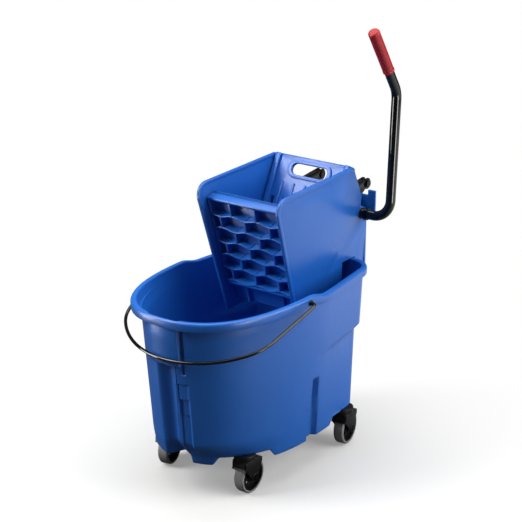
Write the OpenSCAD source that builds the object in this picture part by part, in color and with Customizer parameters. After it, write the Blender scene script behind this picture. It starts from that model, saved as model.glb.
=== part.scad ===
// Wheeled mop bucket with a side press wringer, its lever, a wire bail and four swivel casters.
// Millimetres. X runs from the round pouring front to the lever end, Y runs across, Z runs up.
// The origin is on the floor, under the middle of the whole object.

/* [Overall] */
// Length from the rim's front to the rear ends of the links
overall_l = 657; // [653:1:661]

/* [Bucket] */
// How far the links' rear ends stand behind the rim
link_tail = 108; // [104:1:112]
// Width of the rim across the middle
rim_w = 354; // [348:1:358]
// Width of the rim across the rear corners
rim_rear_w = 314; // [308:1:320]
// Height of the rim's front half above the floor
rim_h = 413; // [411:1:416]
// How far the rear half of the rim lies lower
rim_drop = 11.5; // [9:0.5:12]
// Width of the rim's flat top
rim_lip = 13; // [12:0.5:15]
// Height of the rim's skirt
skirt_h = 19; // [17:1:20]
// How far the rim stands out from the wall
rim_overhang = 9; // [8:0.5:10]
// Thickness of the moulded walls
wall_t = 5; // [4:0.5:6]
// Height of the lower edge above the floor, clear above the wheels
foot_h = 78; // [77:1:82]
// Height of the underside of the bucket's bottom
bottom_h = 92; // [92:1:96]
// Width across the lower edge
foot_w = 312; // [306:1:316]
// Set-back of the front at the lower edge
front_setback = 66; // [62:1:72]
// Set-back of the front where its underside starts
knee_setback = 33; // [30:1:36]
// Height at which the front's underside starts
knee_h = 118; // [114:1:124]
// Set-back of the rear wall at the lower edge
rear_setback = 62; // [58:1:66]
// Depth of the shoulder in the rear half
shoulder_step = 8; // [5:1:12]
// Height of that shoulder
shoulder_h = 255; // [245:1:265]
// Depth of the upright recess in the front
recess_depth = 14; // [10:1:16]
// Height of the top of that recess
recess_h = 312; // [306:1:318]
// Depth of the upright groove in each side
groove_depth = 8; // [5:1:9]
// Height of the top of those grooves
groove_h = 209; // [200:1:215]
// How far the pouring lip dips
spout_dip = 7; // [4:1:9]

/* [Casters] */
// Diameter of a wheel
wheel_d = 76; // [74:0.5:76.5]
// Width of a tyre
tyre_w = 24; // [20:1:25]
// Distance from swivel axis to wheel axis
caster_trail = 14; // [12:1:15]
// Distance of the front swivel axes behind the rim's front
front_caster_back = 137; // [134:0.5:140]
// Y of the front swivel axes, each side
front_caster_y = 105; // [102:1:108]
// Distance of the rear swivel axes ahead of the rim's rear
rear_caster_ahead = 107; // [105:0.5:110]
// Y of the rear swivel axes, each side
rear_caster_y = 146; // [142:1:147]

/* [Wringer] */
// Width across the hopper's top
hopper_w = 208; // [204:1:212]
// Inward slope of its side walls
hopper_draft = 1.75; // [1.5:0.05:1.9]
// Height of the hopper's rear top corners
hopper_h = 614; // [612:1:617]
// How far the front top corners lie lower
hopper_fall = 7; // [4:1:10]
// Length of the hopper's top
hopper_l = 278; // [274:1:282]
// Slope of its front edge from upright
front_lean = 15.8; // [15.2:0.1:16.2]
// Height of the hopper's lowest edge
hopper_low_h = 300; // [296:1:304]
// Depth of the drain grid with its skin
grid_depth = 29; // [27:1:30]
// Height of the grid's flat top
grid_h = 573; // [570:1:576]
// Height of the lowest fin of the grid
grid_low_h = 373; // [371:1:376]
// Slope of the press plate from upright
plate_lean = 29; // [28.5:0.1:29.5]
// Length of the press plate above its hinge
plate_l = 300; // [297:1:302]
// Distance of the press plate's hinge ahead of the cross shaft
hinge_ahead = 182; // [181:0.5:183.5]
// Height of the press plate's hinge
hinge_h = 348; // [346:0.5:350]
// Width of the hand hole
hand_hole_w = 92; // [86:1:96]
// Height of the hand hole along the plate
hand_hole_h = 26; // [24:1:28]

/* [Lever] */
// Diameter of the bent tube
tube_d = 21.5; // [21:0.1:22]
// Height of the cross shaft above the press plate's hinge
shaft_rise = 150; // [148:1:152]
// Y of the upright arm
arm_y = -172; // [-175:1:-170]
// Height of the arm's upper bend above the shaft
arm_l = 279.5; // [270:0.5:285]
// Backward lean of the arm
arm_lean = 2.6; // [2:0.1:3.2]
// Forward slope of the handle from upright
handle_slope = 34.9; // [33:0.1:37]
// Length of the handle beyond the bend
handle_l = 178; // [172:1:182]
// Length of the red grip
grip_l = 122; // [115:1:125]
// Diameter of the grip
grip_d = 25.5; // [25:0.1:27]

/* [Linkage] */
// Length of a crank
crank_r = 84.6; // [83.5:0.1:85.5]
// Angle of the cranks above level, at rest
crank_rest = 31.7; // [31:0.1:32.4]
// Y of the two cranks, each side
crank_y = 61.6; // [60:0.2:64]
// Length of the links
link_l = 137.8; // [137:0.1:138.4]
// Downward slope of the links, at rest
link_slope = 6; // [5.5:0.1:6.5]
// Radius of a link's round end
link_lobe_r = 13; // [12.5:0.1:13.5]

/* [Bail] */
// Diameter of the bail wire
wire_d = 7; // [6.5:0.1:7.5]
// Distance of its pivots behind the rim's front
bail_back = 266.5; // [265:0.5:268]
// Reach of the bail from its pivots
bail_reach = 272.5; // [272.5:0.5:275]
// Angle of the hanging bail below level
bail_hang = 16.2; // [15.8:0.1:16.3]
// Depth of the bail's pivots below the rim's top
bail_down = 12; // [11:0.5:13]
// Gap between the rim and the bail's arms
bail_gap = 13; // [12:0.5:14]

/* [Hidden] */
$fn = 64;
// Radial clearance of a pin that turns in a hole
run_gap = 0.05;
// Clearance between pieces that are fixed to each other
fix_gap = 0.02;
// Clearance between faces that pass each other
pass_gap = 0.6;
// Bends are drawn a hair thinner than the straight lengths and end a little way inside them
bend_skin = 0.15;
bend_lap = 1;

// Colours
blue = [0.10, 0.27, 0.66];
black = [0.04, 0.04, 0.05];
grey = [0.42, 0.42, 0.43];
red = [0.72, 0.10, 0.13];
steel = [0.62, 0.63, 0.65];

// Bucket outline at one height: front X, half width at the middle, half width at the rear, rear X, corner
// radius and the power that makes the front rounder or squarer
rim_power = 2.5;
body_power = 2.05;
upper_draft = 2;
rim_l = overall_l - link_tail;
rim_front_x = -overall_l / 2;
rim_rear_x = rim_front_x + rim_l;
mid_x = rim_front_x + 0.545 * rim_l;
rim_level = [rim_front_x, rim_w / 2, rim_rear_w / 2, rim_rear_x, 55, rim_power];
body_top_h = rim_h - rim_drop - skirt_h - rim_overhang;
body_top_level = concat(select(inset(rim_level, rim_overhang), 0, 4), [body_power]);
foot_level = [rim_front_x + front_setback, foot_w / 2, foot_w / 2 - 2, rim_rear_x - rear_setback, 42, body_power];
drop_x = mid_x + 5;
drop_half_l = 30;
shoulder_rise = 14;
recess_ease = 12;
groove_ease = 12;
groove_x = 14;
groove_w = 20;
bottom_t = 6;
floor_rear_in = 4;
front_foot_h = knee_h - 22;
arch_h = bottom_h - 2.5;
arch_r = 64;
arch_ease = 16;
// The front's lower edge lies higher, except for one foot on the near side
front_edge_x = rim_front_x + 138.5;
foot_near_y = -26;
// Shares of the half width at which the front has its points
front_steps = [0, 0.08, 0.15, 0.165, 0.18, 0.23, 0.245, 0.3, 0.36, 0.42, 0.5, 0.58, 0.66, 0.74, 0.81, 0.87, 0.92,
    0.955, 0.98, 0.995, 1];
recess_share = 0.15;
panel_groove = [0.17, 0.24];
panel_groove_depth = 6;
panel_low_h = 292;
panel_ease = 4;
spout_half_w = 38;

// Casters
wheel_r = wheel_d / 2;
tyre_t = 5.5;
axle_r = 4;
fork_gap = 2.5;
fork_t = 3.5;
hood_gap = 3;
hood_t = 3;
hood_top_h = wheel_r + wheel_r + hood_gap + hood_t;
pad_h = hood_top_h + 4.6;
pad_r = 13;
swivel_r = 22;
stem_r = 6;
stem_head_r = 8;
stem_head_t = 2;
swivel_low_h = hood_top_h - 4;
front_caster_x = rim_front_x + front_caster_back;
rear_caster_x = rim_rear_x - rear_caster_ahead;
caster_x = [front_caster_x, front_caster_x, rear_caster_x, rear_caster_x];
caster_y = [-front_caster_y, front_caster_y, -rear_caster_y, rear_caster_y];
caster_turn = [0, 14, 8, 0];

// Hopper
shaft_x = overall_l / 2 - link_lobe_r - crank_r * cos(crank_rest);
shaft_h = hinge_h + shaft_rise;
hinge_x = shaft_x - hinge_ahead;
plate_face = 8;
hopper_rear_x = hinge_x + plate_l * sin(plate_lean) - plate_face * cos(plate_lean);
hopper_front_x = hopper_rear_x - hopper_l;
hopper_front_h = hopper_h - hopper_fall;
front_round = 20;
seat_h = rim_h - rim_drop + 0.4;
seat_t = 4;
crank_pin_x = shaft_x + crank_r * cos(crank_rest);
crank_pin_h = shaft_h + crank_r * sin(crank_rest);
rear_wall_x = shaft_x + 31;
seat_x = rear_wall_x - 100;
rear_corner_r = 16;
rear_wall_h = shaft_h - 20;
bridge_h = shaft_h + 35;
ear_h = shaft_h + 47;
ear_w = 19;
bridge_half_w = hopper_w / 2 + 13.5;
rear_half_w = half_w_at((seat_h + rear_wall_h) / 2);
boss_r = 20;
boss_out = 6;
bush_r = 14;
bush_flange_r = 17;
bush_flange_t = 2;
boss_end_y = half_w_at(shaft_h) + boss_out;
boss_len = boss_out + wall_t + 6;
hinge_r = 5;
hinge_cap_r = 8;
hinge_cap_t = 3;

// Drain grid
grid_len = (grid_h - grid_low_h) / cos(front_lean);
grid_skin_t = 5;
grid_rows = 6;
grid_fin_t = 4;
grid_cell_w = 2 * grid_half_at(0) / 3;
grid_wave = 6;
grid_web_t = 4;
grid_tail = 58;
grid_back = 15;

// Press plate
plate_t = 5;
plate_low_half_w = half_w_at(hinge_h) - wall_t - pass_gap - 1;
plate_top_half_w = half_w_at(hopper_h) - wall_t - pass_gap - 0.5;
plate_flange = 20;
plate_flange_t = 4;
plate_low = 12;
barrel_r = 9;
hand_hole_down = 16;
hand_border = 10;
hand_border_t = 3;
rib_pitch = 30;
rib_w = 4;
rib_t = 4;
rib_top = 61;
drain_w = 8;
drain_l = 18;
drain_down = 98;
lug_t = 8;
lug_r = 9;

// Lever and linkage
tube_r = tube_d / 2;
low_bend_r = 42;
high_bend_r = 50;
shaft_end_y = boss_end_y + 6;
collar_r = 13;
collar_l = 8;
grip_end_t = 5;
crank_t = 8;
crank_hub_r = 16;
crank_w = 18;
crank_lobe_r = 10;
crank_pin_r = 5;
link_t = 3;
link_in = crank_t / 2 + pass_gap;
link_out = link_in + link_t;
link_web_low = 10.8;
link_web_t = 2.4;
link_low = 8;
rivet_head_r = 8;
rivet_head_t = 2.5;
pivot_x = crank_pin_x - link_l * cos(link_slope);
pivot_h = crank_pin_h - link_l * sin(link_slope);

// Bail
wire_r = wire_d / 2;
bail_half_w = rim_w / 2 + bail_gap;
bail_x = rim_front_x + bail_back;
bail_h = rim_h - bail_down;
bail_taper = 3.6;
bail_arm_l = 134;
bail_corner_r = 117;
bail_pin_in = 28;
bail_bend_r = 9;
bush_hole_r = 7;
bail_flange_r = 10;
bail_flange_t = 3;

// Small helpers
function mix(a, b, t) = a + (b - a) * t;
function ease(t) = let (c = min(1, max(0, t))) c * c * (3 - 2 * c);
function inset(level, d) = level + d * [1, -1, -1, -1, -1, 0];
function select(list, from, to) = [for (i = [from : to]) list[i]];
function half_w_at(h) = hopper_w / 2 - (hopper_h - h) * tan(hopper_draft);
function grid_half_at(z) = half_w_at(grid_low_h + z * cos(front_lean)) - wall_t - pass_gap;

module along_y(from, to, r) {
    translate([0, from, 0]) rotate([-90, 0, 0]) cylinder(r = r, h = to - from);
}

module both_sides() {
    children();
    mirror([0, 1, 0]) children();
}

// Bucket
function front_at(h) =
    let (knee_x = rim_front_x + knee_setback)
    h > knee_h ? mix(knee_x, body_top_level[0], (h - knee_h) / (body_top_h - knee_h))
        : mix(foot_level[0], knee_x, max(0, (h - front_foot_h) / (knee_h - front_foot_h)));

function rear_at(i, h) =
    let (shoulder = body_top_level[i] - (body_top_h - shoulder_h) * tan(upper_draft))
    h > shoulder_h + 1 ? body_top_level[i] - (body_top_h - h) * tan(upper_draft)
        : mix(foot_level[i], shoulder - shoulder_step, (h - foot_h) / (shoulder_h - foot_h));

function body_level(h) =
    let (even = mix(foot_level, body_top_level, (h - foot_h) / (body_top_h - foot_h)))
    [front_at(h), even[1], rear_at(2, h), rear_at(3, h), even[4], even[5]];

function side_y(level, x) =
    let (corner_x = level[3] - level[4])
    mix(level[1], level[2], (x - mid_x) / (corner_x - mid_x));

// Points from the middle of the front round one side to the middle of the rear, each with a mark:
// 1 in the front recess, 2 in the side groove, 3 in the narrow grooves beside the front panel
function half_outline(level) =
    let (corner_x = level[3] - level[4])
    let (groove_end = groove_x + groove_w)
    concat(
        [for (f = front_steps)
            [mid_x - (mid_x - level[0]) * pow(1 - pow(f, level[5]), 1 / level[5]), level[1] * f,
                f <= recess_share ? 1 : (f > panel_groove[0] && f < panel_groove[1] ? 3 : 0)]],
        [for (s = [groove_x, groove_x + 4, groove_end - 4, groove_end])
            [mid_x + s, side_y(level, mid_x + s), s > groove_x && s < groove_end ? 2 : 0]],
        [for (t = [0.25, 0.5, 0.75])
            let (x = mix(mid_x + groove_end, corner_x, t)) [x, side_y(level, x), 0]],
        [for (a = [0 : 15 : 90])
            [corner_x + level[4] * sin(a), level[2] - level[4] + level[4] * cos(a), 0]],
        [[level[3], 0, 0]]
    );

function outline(level) =
    let (half = half_outline(level))
    let (last = len(half) - 1)
    concat(half, [for (i = [last - 1 : -1 : 1]) [half[i].x, -half[i].y, half[i].z]]);

function body_ring(level, h) =
    let (recess = h < recess_h - 1 ? recess_depth * ease((recess_h - h) / recess_ease) : 0)
    let (beside = h > panel_low_h ? panel_groove_depth : 0)
    let (groove = h < groove_h - 1 ? groove_depth : 0)
    [for (p = outline(level))
        [p.x + (p.z == 1 ? recess : (p.z == 3 ? beside : 0)), p.y - (p.z == 2 ? sign(p.y) * groove : 0), h]];

function arch_distance(p) = min([for (i = [0 : 3]) norm([p.x - caster_x[i], p.y - caster_y[i]])]);

function foot_z(p) =
    p.x < front_edge_x && p.y > foot_near_y ? arch_h
        : mix(foot_h, arch_h, ease((arch_r - arch_distance(p)) / arch_ease));

function foot_ring(level) = [for (p = body_ring(level, foot_h)) [p.x, p.y, foot_z(p)]];

function rim_z(x) = rim_h - rim_drop * ease((x - drop_x + drop_half_l) / (2 * drop_half_l));

function rim_ring(level, down, dip) =
    [for (p = outline(level))
        [p.x, p.y, rim_z(p.x) - down - (abs(p.y) < spout_half_w && p.x < front_edge_x ? dip : 0)]];

body_heights = [knee_h, groove_h - groove_ease, groove_h, shoulder_h, shoulder_h + shoulder_rise,
    panel_low_h - panel_ease, recess_h - recess_ease, recess_h, body_top_h - panel_ease, body_top_h];
bottom_rings = [
    body_ring(inset(foot_level, wall_t), bottom_h),
    foot_ring(inset(foot_level, wall_t)),
    foot_ring(foot_level)
];
outer_rings = [for (h = concat([front_foot_h], body_heights)) body_ring(body_level(h), h)];
rim_rings = [
    rim_ring(inset(rim_level, 1), skirt_h, 0),
    rim_ring(rim_level, 3, 0),
    rim_ring(inset(rim_level, 3), 0, 0),
    rim_ring(inset(rim_level, rim_lip - 3), 0, spout_dip),
    rim_ring(inset(rim_level, rim_lip), 3, spout_dip)
];
inner_rings = [for (i = [len(body_heights) - 1 : -1 : 0])
    body_ring(inset(body_level(body_heights[i]), wall_t), body_heights[i])];
floor_h = bottom_h + bottom_t;
// The floor is narrower at the rear, where the sides lean inward above it
floor_level = inset(foot_level, wall_t + 3) - [0, 0, floor_rear_in, 0, 0, 0];
floor_rings = [body_ring(floor_level, floor_h)];
bucket_rings = concat(bottom_rings, outer_rings, rim_rings, inner_rings, floor_rings);
ring_len = len(bucket_rings[0]);
ring_count = len(bucket_rings);

module bucket_shell() {
    middle_x = mid_x - 30;
    points = concat([for (ring = bucket_rings) each ring], [[middle_x, 0, bottom_h], [middle_x, 0, floor_h]]);
    last = (ring_count - 1) * ring_len;
    under_middle = ring_count * ring_len;
    floor_middle = under_middle + 1;
    walls = [for (i = [0 : ring_count - 2]) for (j = [0 : ring_len - 1])
        let (a = i * ring_len + j)
        let (b = i * ring_len + (j + 1) % ring_len)
        each [[a, b, b + ring_len], [a, b + ring_len, a + ring_len]]];
    underside = [for (j = [0 : ring_len - 1]) [(j + 1) % ring_len, j, under_middle]];
    floor_top = [for (j = [0 : ring_len - 1]) [last + j, last + (j + 1) % ring_len, floor_middle]];
    polyhedron(points = points, faces = concat(underside, walls, floor_top), convexity = 10);
}

module bucket() {
    color(blue) difference() {
        union() {
            bucket_shell();
            for (i = [0 : 3]) at_caster(i) translate([0, 0, pad_h]) cylinder(r = pad_r, h = bottom_h + 3 - pad_h);
        }
        translate([bail_x, 0, bail_h]) along_y(-rim_w, rim_w, bush_hole_r);
    }
}

module bail_bushes() {
    color(black) both_sides() translate([bail_x, 0, bail_h]) difference() {
        union() {
            along_y(rim_w / 2 - bail_pin_in + bail_gap, rim_w / 2 + bail_flange_t, bush_hole_r - fix_gap);
            along_y(rim_w / 2 + 0.3, rim_w / 2 + 0.3 + bail_flange_t, bail_flange_r);
        }
        along_y(0, rim_w, wire_r + run_gap);
    }
}

// The bail, drawn with its pivots on the Y axis and reaching along X
module bail_arm(corner) {
    arm_x = bail_arm_l * cos(bail_taper);
    arm_y_end = bail_half_w - bail_arm_l * sin(bail_taper);
    bend_centre = [bail_bend_r, bail_half_w - bail_bend_r];
    bend_out = bend_centre + bail_bend_r * [sin(bail_taper), cos(bail_taper)];
    along_y(bail_half_w - bail_pin_in, bail_half_w - bail_bend_r, wire_r);
    translate([bend_centre.x, bend_centre.y, 0])
        bend(bail_bend_r, 90 - bail_taper, 180, wire_r);
    translate([bend_out.x, bend_out.y, 0]) rotate([0, 90, -bail_taper])
        cylinder(r = wire_r, h = norm([arm_x - bend_out.x, arm_y_end - bend_out.y]));
    translate([corner.x, corner.y, 0])
        bend(bail_corner_r, bow_angle, 90 - bail_taper, wire_r);
}

// An arc of wire or tube about Z, long enough to lap into what it joins at both ends
module bend(arc_r, from, to, r) {
    lap = bend_lap / arc_r * 180 / PI;
    rotate(from - lap) rotate_extrude(angle = to - from + 2 * lap)
        translate([arc_r, 0]) circle(r = r - bend_skin);
}

// The front bow is one arc about a point on the X axis that meets the corner arcs smoothly
bail_corner = [
    bail_arm_l * cos(bail_taper) - bail_corner_r * sin(bail_taper),
    bail_half_w - bail_arm_l * sin(bail_taper) - bail_corner_r * cos(bail_taper)
];
bow_left = bail_reach - bail_corner.x;
bow_r = (bail_corner_r * bail_corner_r - bow_left * bow_left - bail_corner.y * bail_corner.y)
    / (2 * (bail_corner_r - bow_left));
bow_x = bail_reach - bow_r;
bow_angle = atan2(bail_corner.y, bail_corner.x - bow_x);

module bail() {
    color(black) translate([bail_x, 0, bail_h]) rotate([0, 180 - bail_hang, 0]) {
        both_sides() bail_arm(bail_corner);
        translate([bow_x, 0, 0]) rotate(-bow_angle) rotate_extrude(angle = 2 * bow_angle)
            translate([bow_r, 0]) circle(r = wire_r);
    }
}

// Casters, drawn with the swivel axis on Z and the wheel trailing along X
module at_caster(i) {
    translate([caster_x[i], caster_y[i], 0]) rotate(caster_turn[i]) children();
}

module at_wheel(i) {
    at_caster(i) translate([caster_trail, 0, wheel_r]) children();
}

module caster_stems() {
    color(black) for (i = [0 : 3]) at_caster(i) {
        translate([0, 0, hood_top_h + pass_gap]) cylinder(r = swivel_r - 2, h = pad_h - hood_top_h - pass_gap);
        translate([0, 0, swivel_low_h - 0.5]) cylinder(r = stem_r, h = hood_top_h - swivel_low_h + 1.2);
        translate([0, 0, swivel_low_h - 0.4 - stem_head_t]) cylinder(r = stem_head_r, h = stem_head_t);
    }
}

module fork(i) {
    leg_y = tyre_w / 2 + fork_gap;
    hood_in = wheel_r + hood_gap;
    hood_out = hood_in + hood_t;
    hood_low = 24;
    hood_rear = 24;
    hood_front = sqrt(hood_out * hood_out - hood_low * hood_low) - 1;
    crown_x = -36;
    leg = [
        [-hood_front, hood_low],
        [-hood_in * cos(45), hood_in * sin(45)],
        [-16, hood_out - 4],
        [8, hood_out - 1],
        [20, hood_out - 6],
        [hood_rear, hood_out - 12],
        [15, 12],
        [9, -2],
        [-9, -2],
        [-24, hood_low - 10]
    ];
    color(black) at_caster(i) difference() {
        union() {
            translate([0, 0, swivel_low_h]) cylinder(r = swivel_r, h = hood_top_h - swivel_low_h);
            translate([caster_trail, 0, wheel_r]) {
                difference() {
                    union() {
                        along_y(-leg_y - fork_t, leg_y + fork_t, hood_out);
                        translate([crown_x, -leg_y - fork_t, 0]) cube([-crown_x, 2 * (leg_y + fork_t), hood_out]);
                    }
                    along_y(-leg_y - fork_t - 1, leg_y + fork_t + 1, hood_in);
                    translate([-wheel_d, -wheel_d, hood_low - 2 * wheel_d]) cube(2 * wheel_d);
                    translate([hood_rear, -wheel_d, -wheel_d]) cube(2 * wheel_d);
                }
                for (side = [-1, 1]) {
                    translate([0, side * (leg_y + fork_t / 2) + fork_t / 2, 0]) rotate([90, 0, 0])
                        linear_extrude(fork_t) polygon(leg);
                    along_y(side * (leg_y + fork_t / 2) - fork_t / 2, side * (leg_y + fork_t / 2) + fork_t / 2, 9);
                }
            }
        }
        translate([0, 0, swivel_low_h - 12]) cylinder(r = stem_r + run_gap, h = 30);
        translate([0, 0, swivel_low_h - 12]) cylinder(r = stem_head_r + 0.4, h = 12);
        translate([caster_trail, 0, wheel_r]) along_y(-wheel_d, wheel_d, axle_r + fix_gap);
    }
}

module axle(i) {
    half = tyre_w / 2 + fork_gap + fork_t;
    color(black) at_wheel(i) {
        along_y(-half - 4, half + 3, axle_r);
        along_y(-half - 4, -half, 7);
        along_y(half, half + 4, 7);
    }
}

module hub(i) {
    outer = wheel_r - tyre_t;
    color(black) at_wheel(i) difference() {
        union() {
            difference() {
                along_y(-tyre_w / 2 + 1, tyre_w / 2 - 1, outer);
                along_y(-tyre_w, tyre_w, outer - 4);
            }
            along_y(-2.5, 2.5, outer - 3);
            along_y(-tyre_w / 2, tyre_w / 2, 9);
        }
        along_y(-tyre_w, tyre_w, axle_r + run_gap);
        for (a = [0 : 60 : 300]) rotate([0, a, 0]) translate([17.5, 0, 0]) along_y(-tyre_w, tyre_w, 5);
    }
}

module tyre(i) {
    inner = wheel_r - tyre_t + fix_gap;
    edge = 5;
    color(grey) at_wheel(i) rotate([90, 0, 0]) rotate_extrude($fn = 96) polygon([
        [inner, -tyre_w / 2],
        [wheel_r - edge, -tyre_w / 2],
        [wheel_r - edge / 3, -tyre_w / 2 + edge / 3],
        [wheel_r, -tyre_w / 2 + edge],
        [wheel_r, tyre_w / 2 - edge],
        [wheel_r - edge / 3, tyre_w / 2 - edge / 3],
        [wheel_r - edge, tyre_w / 2],
        [inner, tyre_w / 2]
    ]);
}

// Wringer frame
function hopper_edge_x(h) = hopper_front_x + (hopper_front_h - h) * tan(front_lean);

module side_wall() {
    centre = [hopper_front_x + front_round, hopper_front_h - front_round];
    outline_points = concat(
        [[hopper_edge_x(hopper_low_h), hopper_low_h]],
        [for (a = [176 : -14 : 92]) centre + front_round * [cos(a), sin(a)]],
        [
            [hopper_rear_x, hopper_h],
            [shaft_x - 13, shaft_h + 46],
            [shaft_x - 9, shaft_h + 12],
            [rear_wall_x - rear_corner_r, rear_wall_h],
            [rear_wall_x - rear_corner_r, seat_h + 1.5],
            [seat_x, seat_h + 1.5],
            [seat_x, seat_h - 62],
            [hinge_x + 30, hopper_low_h]
        ]
    );
    translate([0, -hopper_w / 2, hopper_h]) rotate([hopper_draft, 0, 0]) translate([0, wall_t, -hopper_h])
        rotate([90, 0, 0]) linear_extrude(wall_t) polygon(outline_points);
}

// The rear housing is a U in plan: one leg beside each side wall and the rear wall between them
module rear_housing() {
    start_x = rear_wall_x - rear_corner_r - 2;
    centre = [rear_wall_x - rear_corner_r, rear_half_w - rear_corner_r];
    function arc(r) = [for (a = [90 : -15 : 0]) centre + r * [cos(a), sin(a)]];
    function mirrored(points) = [for (i = [len(points) - 1 : -1 : 0]) [points[i].x, -points[i].y]];
    outer = concat([[start_x, rear_half_w]], arc(rear_corner_r));
    inner = concat([[start_x, rear_half_w - wall_t]], arc(rear_corner_r - wall_t));
    translate([0, 0, seat_h]) linear_extrude(rear_wall_h - seat_h)
        polygon(concat(outer, mirrored(outer), [for (i = [0 : len(inner) - 1]) [inner[i].x, -inner[i].y]],
            [for (i = [len(inner) - 1 : -1 : 0]) inner[i]]));
}

module wringer_frame() {
    inner = rear_half_w - rear_corner_r;
    color(blue) difference() {
        union() {
            both_sides() {
                side_wall();
                translate([shaft_x, 0, shaft_h]) along_y(boss_end_y - boss_len, boss_end_y, boss_r);
                translate([rear_wall_x - wall_t, bridge_half_w - ear_w, shaft_h])
                    cube([wall_t, ear_w, ear_h - shaft_h]);
            }
            rear_housing();
            translate([rear_wall_x - wall_t, -inner, rear_wall_h - 8])
                cube([wall_t, 2 * inner, bridge_h - rear_wall_h + 8]);
            translate([rear_wall_x - wall_t, -bridge_half_w, shaft_h - 4])
                cube([wall_t, 2 * bridge_half_w, bridge_h - shaft_h + 4]);
            translate([seat_x, -rear_half_w + 2, seat_h])
                cube([rear_wall_x - rear_corner_r - seat_x, 2 * rear_half_w - 4, seat_t]);
            translate([seat_x, -inner, seat_h]) cube([rear_wall_x - wall_t - seat_x + 1, 2 * inner, seat_t]);
        }
        translate([shaft_x, 0, shaft_h]) along_y(-hopper_w, hopper_w, bush_r + fix_gap);
        translate([hinge_x, 0, hinge_h]) along_y(-hopper_w, hopper_w, hinge_r + fix_gap);
        for (side = [-1, 1]) translate([rear_wall_x - 2 * wall_t, side * crank_y - link_out - 4, shaft_h - 12])
            cube([4 * wall_t, 2 * link_out + 8, bridge_h]);
    }
}

// Drain grid, drawn with its front face on the plane X = 0 and its lowest fin at Z = 0
module wave_fin(z, phase) {
    steps = 36;
    half = grid_half_at(z - grid_wave - grid_fin_t);
    bow = [for (k = [0 : steps])
        let (y = mix(-half, half, k / steps))
        [y, grid_wave * abs(sin(180 * (y / grid_cell_w + phase))) - grid_wave]];
    lower = [for (k = [steps : -1 : 0]) [bow[k].x, bow[k].y - grid_fin_t]];
    translate([0, 0, z]) rotate([90, 0, 90]) linear_extrude(grid_depth - grid_skin_t + 1)
        polygon(concat(bow, lower));
}

// A sheet across the grid that widens with the walls
module grid_sheet(from, to, depth) {
    rotate([90, 0, 90]) linear_extrude(depth) polygon([
        [-grid_half_at(from), from], [grid_half_at(from), from], [grid_half_at(to), to], [-grid_half_at(to), to]
    ]);
}

module drain_grid() {
    pitch = grid_len / grid_rows;
    web_depth = grid_depth - grid_skin_t + 1;
    tail_rib_x = 10;
    tail_rib_y = 48;
    color(blue) translate([hopper_edge_x(grid_low_h) + grid_back, 0, grid_low_h]) rotate([0, -front_lean, 0]) {
        translate([grid_depth - grid_skin_t, 0, 0]) grid_sheet(-grid_tail, grid_len, grid_skin_t);
        grid_sheet(grid_len - grid_fin_t, grid_len, grid_depth);
        for (row = [0 : grid_rows - 1]) {
            wave_fin(row * pitch + grid_fin_t + grid_wave, row % 2 == 0 ? 0.5 : 0);
            web_end = grid_half_at(row * pitch) - grid_web_t / 2;
            for (k = [-1.5 : 0.5 : 1.5])
                if (abs(k * 2) % 2 == row % 2) {
                    web_y = min(max(k * grid_cell_w, -web_end), web_end);
                    translate([0, web_y - grid_web_t / 2, row * pitch])
                        cube([web_depth, grid_web_t, min(pitch + 0.5, grid_len - row * pitch)]);
                }
        }
        for (side = [-1, 1]) translate([tail_rib_x, side * tail_rib_y - grid_web_t / 2, -grid_tail])
            cube([grid_depth - tail_rib_x, grid_web_t, grid_tail + 1]);
    }
}

module hinge_pin() {
    end_y = half_w_at(hinge_h) + 3;
    color(steel) translate([hinge_x, 0, hinge_h]) along_y(-end_y, end_y, hinge_r);
}

module hinge_caps() {
    start = half_w_at(hinge_h) + 0.8;
    color(steel) both_sides() translate([hinge_x, 0, hinge_h]) difference() {
        along_y(start, start + hinge_cap_t, hinge_cap_r);
        along_y(start - 1, start + 2.3, hinge_r + fix_gap);
    }
}

module shaft_bushes() {
    color(black) both_sides() translate([shaft_x, 0, shaft_h]) difference() {
        union() {
            along_y(boss_end_y - boss_len, boss_end_y + bush_flange_t, bush_r);
            along_y(boss_end_y, boss_end_y + bush_flange_t, bush_flange_r);
        }
        along_y(0, hopper_w, tube_r + run_gap);
    }
}

// Press plate, drawn with its hinge on the origin and rising along Z, its face towards minus X
module rounded_slot(w, h, depth) {
    r = h / 2 - 1;
    for (y = [-w / 2 + r, w / 2 - r], z = [r, h - r])
        translate([0, y, z]) rotate([0, 90, 0]) cylinder(r = r, h = depth);
    translate([0, -w / 2 + r, 0]) cube([depth, w - 2 * r, h]);
    translate([0, -w / 2, r]) cube([depth, w, h - 2 * r]);
}

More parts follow.
